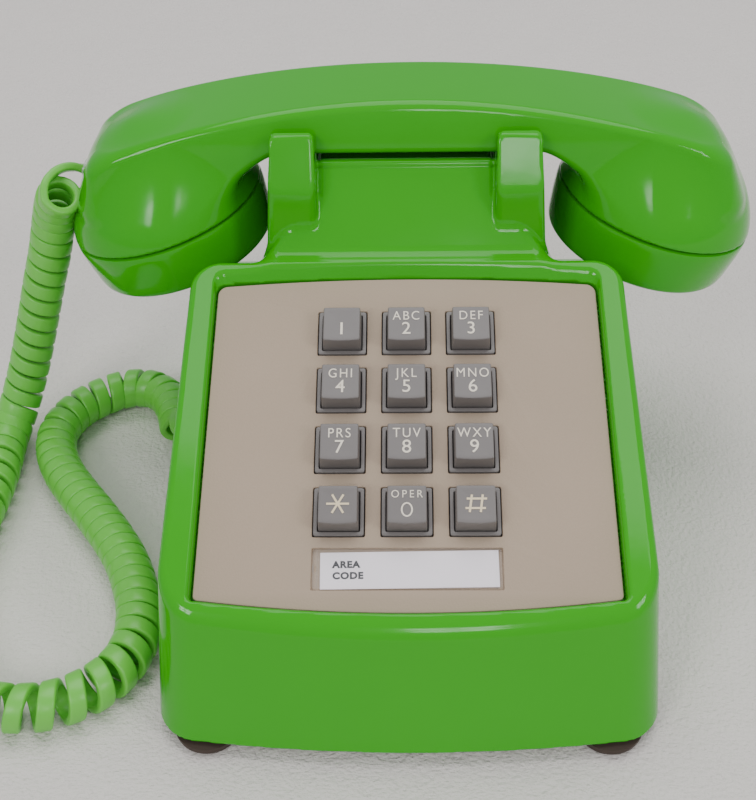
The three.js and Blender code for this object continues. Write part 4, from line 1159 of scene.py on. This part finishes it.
def make_cap(side, node, holes):
    """Screwed cap with a bevelled rim, a slightly hollow face and its sound holes."""
    r = CUP_R
    profile = [(0, -15.0), (26, -14.9), (28.4, -13.6), (29.6, -7), (29.9, -0.3), (r - 0.5, -0.3),
               (r - 0.12, -0.5), (r, -1.0), (r - 0.05, -3), (r - 0.4, -6.4), (31.3, -13.4)]
    for i in range(7):
        turn = math.radians(10 + 80 * i / 6)
        profile.append((28.0 + 3.0 * math.cos(turn), -14.2 - 3.0 * math.sin(turn)))
    profile += [(20, -16.8), (9, -16.5), (0, -16.4)]
    made = piece(f"moulded_{node}", *turned(profile, 96), "green_shell")
    drills = []
    for count, radius in holes:
        for i in range(count):
            turn = 2 * math.pi * i / count
            bore = [ring(1.3, 1.3, 1.29, height, steps=3) for height in (-20, -12)]
            drill = piece("drill", *loft(bore))
            drills.append(shift(drill, radius * math.cos(turn), radius * math.sin(turn), 0))
    carve(made, merge("drills", drills))
    sharpen(made, 40)
    made.data.transform(cup_frame(side))
    return settle(made, "handset", "green_shell", node)


# ---------- cradle, base and sockets ----------
def make_socket(node, name, wide, tall, deep, body_name, place):
    """Modular socket: a block with a stepped mouth towards -X and four sprung contacts."""
    rings = [ring(wide / 2 - 0.3, tall / 2 - 0.3, 0.5, 0), ring(wide / 2, tall / 2, 0.7, 0.4),
             ring(wide / 2, tall / 2, 0.7, deep)]
    outer = piece(name, *loft(rings), "black_moulding", "contact_gold")
    mouth = piece("mouth", *loft([ring(4.1, 3.2, 0.3, -1), ring(4.1, 3.2, 0.3, deep - 2)]))
    shift(mouth, 0, 1.2, 0)
    latch = piece("latch", *loft([ring(1.9, 2.0, 0.3, -1), ring(1.9, 2.0, 0.3, deep - 2.5)]))
    shift(latch, 0, -2.1, 0)
    carve(outer, mouth, latch)
    sharpen(outer)
    parts = [outer]
    for i in range(4):
        x = -1.53 + CONTACT_PITCH * i
        bends = [(x, 4.2, 1.5), (x, 3.6, 4.5), (x, 1.2, deep - 2.4)]
        parts.append(rod_mesh("wire", bends, 0.22, "contact_gold"))
    made = merge(name, parts)
    made.data.transform(place @ LYING)
    return settle(made, body_name, "black_moulding", node)


def rod_mesh(name, points, radius, finish_name, sides=8):
    """Round wire through a few points."""
    line = smooth_line(points, 5)
    tangents = unit(np.gradient(line, axis=0))
    aside = carried(np.array([1.0, 0.1, 0.05]), tangents)
    other = np.cross(tangents, aside)
    turn = 2 * math.pi * np.arange(sides) / sides
    rings = [c + radius * (np.cos(turn)[:, None] * a + np.sin(turn)[:, None] * b)
             for c, a, b in zip(line, aside, other)]
    return piece(name, *loft(rings), finish_name)


def make_plungers():
    """The two clear plungers with domed tops that the handset presses."""
    for side, where in ((-1, "left"), (1, "right")):
        w = PLUNGER_W / 2
        rings = [ring(2, 2, 0.4, 76.5), ring(2, 2, 0.4, 98.3), ring(6, 6, 0.8, 98.4), ring(6, 6, 0.8, 99.9),
                 ring(w, w, 1.2, 100), ring(w, w, 1.2, SEAT_Z - 2)]
        for i in range(1, 6):
            turn = math.radians(18 * i)
            inset = 1.8 * (1 - math.cos(turn))
            rings.append(ring(w - inset, w - inset, 1.2, SEAT_Z - 2 + 2 * math.sin(turn)))
        made = piece(f"clear_plunger_{where}", *loft(rings), "clear_plug")
        sharpen(made, 50)
        shift(made, side * PLUNGER_X, AXIS_Y, 0)
        settle(made, f"plunger_{where}", "clear_plug", f"hook_plunger_{where}")


def body_outline(inset):
    """Plan of the body at its lower edge, inset by a distance."""
    half, r = BODY_HALF_W - inset, 11 - inset
    front, back = -BODY_LENGTH + inset, BODY_LENGTH - inset
    points = []
    for cx, cy, start in ((half - r, front + FRONT_BOW + r, -90), (half - r, back - r, 0),
                          (r - half, back - r, 90), (r - half, front + FRONT_BOW + r, 180)):
        for i in range(9):
            turn = math.radians(start + 11.25 * i)
            points.append((cx + r * math.cos(turn), cy + r * math.sin(turn)))
    for i in range(1, 16):
        u = i / 8 - 1
        points.append((u * (half - r), front + FRONT_BOW * u * u))
    return points


def circle(x, y, r, sides=24):
    return [(x + r * math.cos(2 * math.pi * i / sides), y + r * math.sin(2 * math.pi * i / sides))
            for i in range(sides)]


def make_base():
    """Pressed baseplate, rubber feet, slotted screws, volume wheel, and the base's two sockets."""
    z0 = FOOT_H + 0.3
    holes = [circle(x, y, 2.4) for x, y in SCREWS.values()]
    slot = rectangle(3, 11, 1.5, WHEEL[:2])
    sheet = flat_sheet("pressed_baseplate", [body_outline(WALL + 1.2), slot] + holes, z0, z0 + 1.2, 0.2,
                       "base_steel")
    lip = flat_sheet("lip", [body_outline(WALL + 1.2), body_outline(WALL + 2.4)], z0 + 0.4, z0 + 3, 0.2,
                     "base_steel")
    ribs = []
    for x in (-30, -10, 10, 30):
        edge = rectangle(1.6, 52, 1.5, (x, -6))
        ribs.append(flat_sheet("rib", [edge], z0 + 1.0, z0 + 1.4, 0.15, "base_steel"))
    made = sharpen(merge("pressed_baseplate", [sheet, lip] + ribs))
    settle(made, "root", "base_steel", "baseplate")
    for node, (x, y) in FEET.items():
        profile = [(0, 0.35), (3.2, 0.35), (3.8, 0.0), (8.0, 0.0), (8.7, 0.35), (9.2, 1.1), (9.6, 2.4),
                   (9.7, FOOT_H), (0, FOOT_H)]
        foot = piece(f"rubber_{node}", *turned(profile, 48), "rubber_foot")
        settle(shift(sharpen(foot, 45), x, y, 0), "root", "rubber_foot", node)
    for node, (x, y) in SCREWS.items():
        profile = [(0, 1.35), (2.4, 1.3), (3.7, 1.75), (4.2, 2.5), (4.2, FOOT_H), (1.4, FOOT_H + 0.1),
                   (1.4, 23), (0.2, 24), (0, 24)]
        screw = piece(f"slotted_{node}", *turned(profile, 32), "base_steel")
        drive = piece("drive", *loft([ring(5, 0.5, 0.1, 0), ring(5, 0.5, 0.1, 2.3)]))
        carve(screw, drive)
        settle(shift(sharpen(screw), x, y, 0), "root", "base_steel", node)
    make_wheel()
    make_socket("base_cord_socket", "base_jack_block", JACK_W - 0.6, JACK_H - 0.6, 15, "root",
                Matrix.Translation(Vector((-69.6, JACK_Y, JACK_Z)) * MM))
    in_back = Matrix.Translation(Vector((LINE_X, 101, LINE_Z)) * MM) @ Matrix.Rotation(-math.pi / 2, 4, "Z")
    make_socket("line_socket", "line_jack_block", LINE_W - 0.6, LINE_H - 0.6, 16, "root", in_back)


def make_wheel():
    """Volume wheel with a finely ribbed edge."""
    count = 40
    turn = 2 * math.pi * np.arange(count * 2) / (count * 2)
    radius = np.where(np.arange(count * 2) % 2, 9.8, 9.3)
    edge = np.stack([radius * np.cos(turn), radius * np.sin(turn)], 1)
    rings = [np.column_stack([edge * share, np.full(len(edge), h)])
             for share, h in ((0.4, -3.4), (0.41, -2.1), (0.96, -2.0), (1, -1.6), (1, 1.6), (0.96, 2.0),
                              (0.41, 2.1), (0.4, 3.4))]
    made = piece("ribbed_volume_wheel", *loft(rings), "black_moulding")
    bore = piece("bore", *loft([ring(1.6, 1.6, 1.59, -5, steps=4), ring(1.6, 1.6, 1.59, 5, steps=4)]))
    carve(made, bore)
    made.data.transform(Matrix.Rotation(math.pi / 2, 4, "Y"))
    settle(shift(sharpen(made), *WHEEL), "volume_wheel", "black_moulding", "volume_wheel")


# ---------- stage ----------
EYE, AIM = (1.14, -323.88, 305.46), (-8.864, -10.35, 57.26)    # of the camera, in millimetres
LIT_PLACE = (0, 0, 0.06)                  # where every light points, in metres
# Place and size of each window in metres, and its share of the window power.
WINDOWS = {"left": ((-0.88, -1.28, 1.15), (0.5, 0.5), 1.0),
           "middle": ((0.12, -1.5, 1.1), (0.24, 0.44), 0.35),
           "right": ((1.28, -1.02, 1.12), (0.42, 0.56), 0.75)}
PANE_OFFSET, PANE_SIZE = 0.27, 0.46       # of a window's size; the bars take the rest


def area_light(name, place, aim, size, power):
    """A rectangular light that faces a point."""
    data = bpy.data.lights.new(name, "AREA")
    data.shape = "RECTANGLE"
    data.size, data.size_y = size
    data.energy = power
    lamp = bpy.data.objects.new(name, data)
    bpy.context.scene.collection.objects.link(lamp)
    lamp.location = place
    lamp.rotation_euler = (Vector(aim) - Vector(place)).to_track_quat("-Z", "Y").to_euler()
    return lamp


def window_light(name, place, aim, size, power):
    """Four panes of a window with bars between them."""
    ahead = Vector(aim) - Vector(place)
    facing = ahead.to_track_quat("-Z", "Y")
    pane = (size[0] * PANE_SIZE, size[1] * PANE_SIZE)
    for across in (-1, 1):
        for up in (-1, 1):
            offset = Vector((across * size[0] * PANE_OFFSET, up * size[1] * PANE_OFFSET, 0))
            middle = Vector(place) + facing @ offset
            area_light(name, middle, middle + ahead, pane, power / 4)


def make_stage(stage, tones):
    """Camera, cloth-covered table top, window lights, ceiling light and an even room light."""
    camera = bpy.data.objects.new("camera", bpy.data.cameras.new("camera"))
    bpy.context.scene.collection.objects.link(camera)
    camera.data.lens = stage.lens
    camera.data.clip_start = 0.01
    eye, aim = Vector(EYE) * MM, Vector(AIM) * MM
    look = (aim - eye).to_track_quat("-Z", "Y")
    camera.rotation_mode = "QUATERNION"
    camera.location = eye
    camera.rotation_quaternion = look @ Quaternion((0, 0, 1), stage.roll)
    bpy.context.scene.camera = camera
    FINISHES["pale_cloth"] = finish("pale_cloth", tones.cloth, 0.9, mottle=0.025, grain=0.6,
                                    pattern=felted(760), shine=0.2)
    wide = 3000
    floor = piece("cloth_floor", [(-wide, -wide, 0), (wide, -wide, 0), (wide, wide, 0), (-wide, wide, 0)],
                  [(0, 1, 2, 3)], "pale_cloth", smooth=False)
    for name, (place, size, share) in WINDOWS.items():
        window_light(f"window_{name}", place, LIT_PLACE, size, stage.window * share)
    area_light("ceiling", (0.1, 0.5, 1.9), LIT_PLACE, (1.8, 1.4), stage.ceiling)
    world = bpy.data.worlds.new("room")
    world.use_nodes = True
    world.node_tree.nodes["Background"].inputs["Color"].default_value = (0.93, 0.95, 1.0, 1)
    world.node_tree.nodes["Background"].inputs["Strength"].default_value = stage.room
    bpy.context.scene.world = world


# Working parts that keep their frame shapes, by the finish each takes.
INNER = {
    "base_steel": ["switch_bracket", "switch_lever", "lever_pin", "ringer_frame", "gong_screw_left",
                   "gong_screw_right", "clapper", "clapper_post", "wheel_bracket"],
    "spring_steel": ["key_spring_sheet"],
    "circuit_board": ["contact_board"],
    "black_moulding": ["tone_unit", "contact_pile", "network_block", "transmitter_cup"],
    "gong_brass": ["gong_left", "gong_right"],
    "coil_winding": ["ringer_coil"],
    "capsule_metal": ["transmitter", "receiver"],
}


def finish_works():
    """Finishes of the working parts that keep their frame shapes."""
    for key, names in INNER.items():
        for name in names:
            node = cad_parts[name]
            node.data.materials.clear()
            node.data.materials.append(FINISHES[key])


# ---------- operators ----------
class Maker:
    """What the operators share: each has a make function that takes the three groups of settings."""
    bl_options = {"REGISTER", "UNDO"}

    def execute(self, context):
        scene = context.scene
        self.make(scene.telephone_sizes, scene.telephone_colours, scene.telephone_stage)
        return {"FINISHED"}


class TELEPHONE_OT_stage(Maker, bpy.types.Operator):
    """Make the camera, the cloth, the lights and all finishes"""
    bl_idname = "telephone.stage"
    bl_label = "Stage and finishes"

    def make(self, sizes, tones, stage):
        make_finishes(tones)
        make_stage(stage, tones)


class TELEPHONE_OT_cord(Maker, bpy.types.Operator):
    """Make the coiled cord and its two clear plugs"""
    bl_idname = "telephone.cord"
    bl_label = "Coiled cord"

    def make(self, sizes, tones, stage):
        made, line = make_cord(sizes)
        upper = make_plug("clear_plug_handset", "cord_plug_handset", HANDSET_PLUG_X, AXIS_Y,
                          HANDSET_JACK[1] + 0.6, "handset")
        lower = make_plug("clear_plug_base", "cord_plug_base", BASE_PLUG_X, JACK_Y, JACK_Z + 0.6, "root")


class TELEPHONE_OT_housing(Maker, bpy.types.Operator):
    """Make the moulded housing with its rim, cradle and prongs"""
    bl_idname = "telephone.housing"
    bl_label = "Housing"

    def make(self, sizes, tones, stage):
        make_housing(sizes)


class TELEPHONE_OT_faceplate(Maker, bpy.types.Operator):
    """Make the faceplate, the number card and its window"""
    bl_idname = "telephone.faceplate"
    bl_label = "Faceplate and card"

    def make(self, sizes, tones, stage):
        make_faceplate()


class TELEPHONE_OT_keypad(Maker, bpy.types.Operator):
    """Make the collars and the twelve printed keys"""
    bl_idname = "telephone.keypad"
    bl_label = "Keys"

    def make(self, sizes, tones, stage):
        make_keypad(sizes)


class TELEPHONE_OT_handset(Maker, bpy.types.Operator):
    """Make the handset, its caps and its socket"""
    bl_idname = "telephone.handset"
    bl_label = "Handset"

    def make(self, sizes, tones, stage):
        make_handset(sizes)


class TELEPHONE_OT_base(Maker, bpy.types.Operator):
    """Make the plungers, baseplate, feet, screws, sockets and volume wheel"""
    bl_idname = "telephone.base"
    bl_label = "Cradle plungers and base"

    def make(self, sizes, tones, stage):
        make_plungers()
        make_base()


class TELEPHONE_OT_works(Maker, bpy.types.Operator):
    """Give the working parts inside their finishes"""
    bl_idname = "telephone.works"
    bl_label = "Working parts"

    def make(self, sizes, tones, stage):
        finish_works()


OPERATORS = [TELEPHONE_OT_stage, TELEPHONE_OT_cord, TELEPHONE_OT_housing, TELEPHONE_OT_faceplate,
             TELEPHONE_OT_keypad, TELEPHONE_OT_handset, TELEPHONE_OT_base, TELEPHONE_OT_works]


class TELEPHONE_PT_panel(bpy.types.Panel):
    """Buttons that make each piece, and the settings they use"""
    bl_idname = "TELEPHONE_PT_panel"
    bl_label = "Telephone"
    bl_space_type = "VIEW_3D"
    bl_region_type = "UI"
    bl_category = "Telephone"

    def draw(self, context):
        for operator in OPERATORS:
            self.layout.operator(operator.bl_idname)
        for group in (context.scene.telephone_sizes, context.scene.telephone_colours,
                      context.scene.telephone_stage):
            for name in group.__annotations__:
                self.layout.prop(group, name)


GROUPS = {"telephone_sizes": TelephoneSizes, "telephone_colours": TelephoneColours,
          "telephone_stage": TelephoneStage}
CLASSES = list(GROUPS.values()) + OPERATORS + [TELEPHONE_PT_panel]


def register():
    for cls in CLASSES:
        bpy.utils.register_class(cls)
    for name, group in GROUPS.items():
        setattr(bpy.types.Scene, name, bpy.props.PointerProperty(type=group))


def unregister():
    for name in GROUPS:
        delattr(bpy.types.Scene, name)
    for cls in reversed(CLASSES):
        bpy.utils.unregister_class(cls)


def main():
    register()
    for operator in OPERATORS:
        group, name = operator.bl_idname.split(".")
        getattr(getattr(bpy.ops, group), name)()


if __name__ == "__main__":
    main()
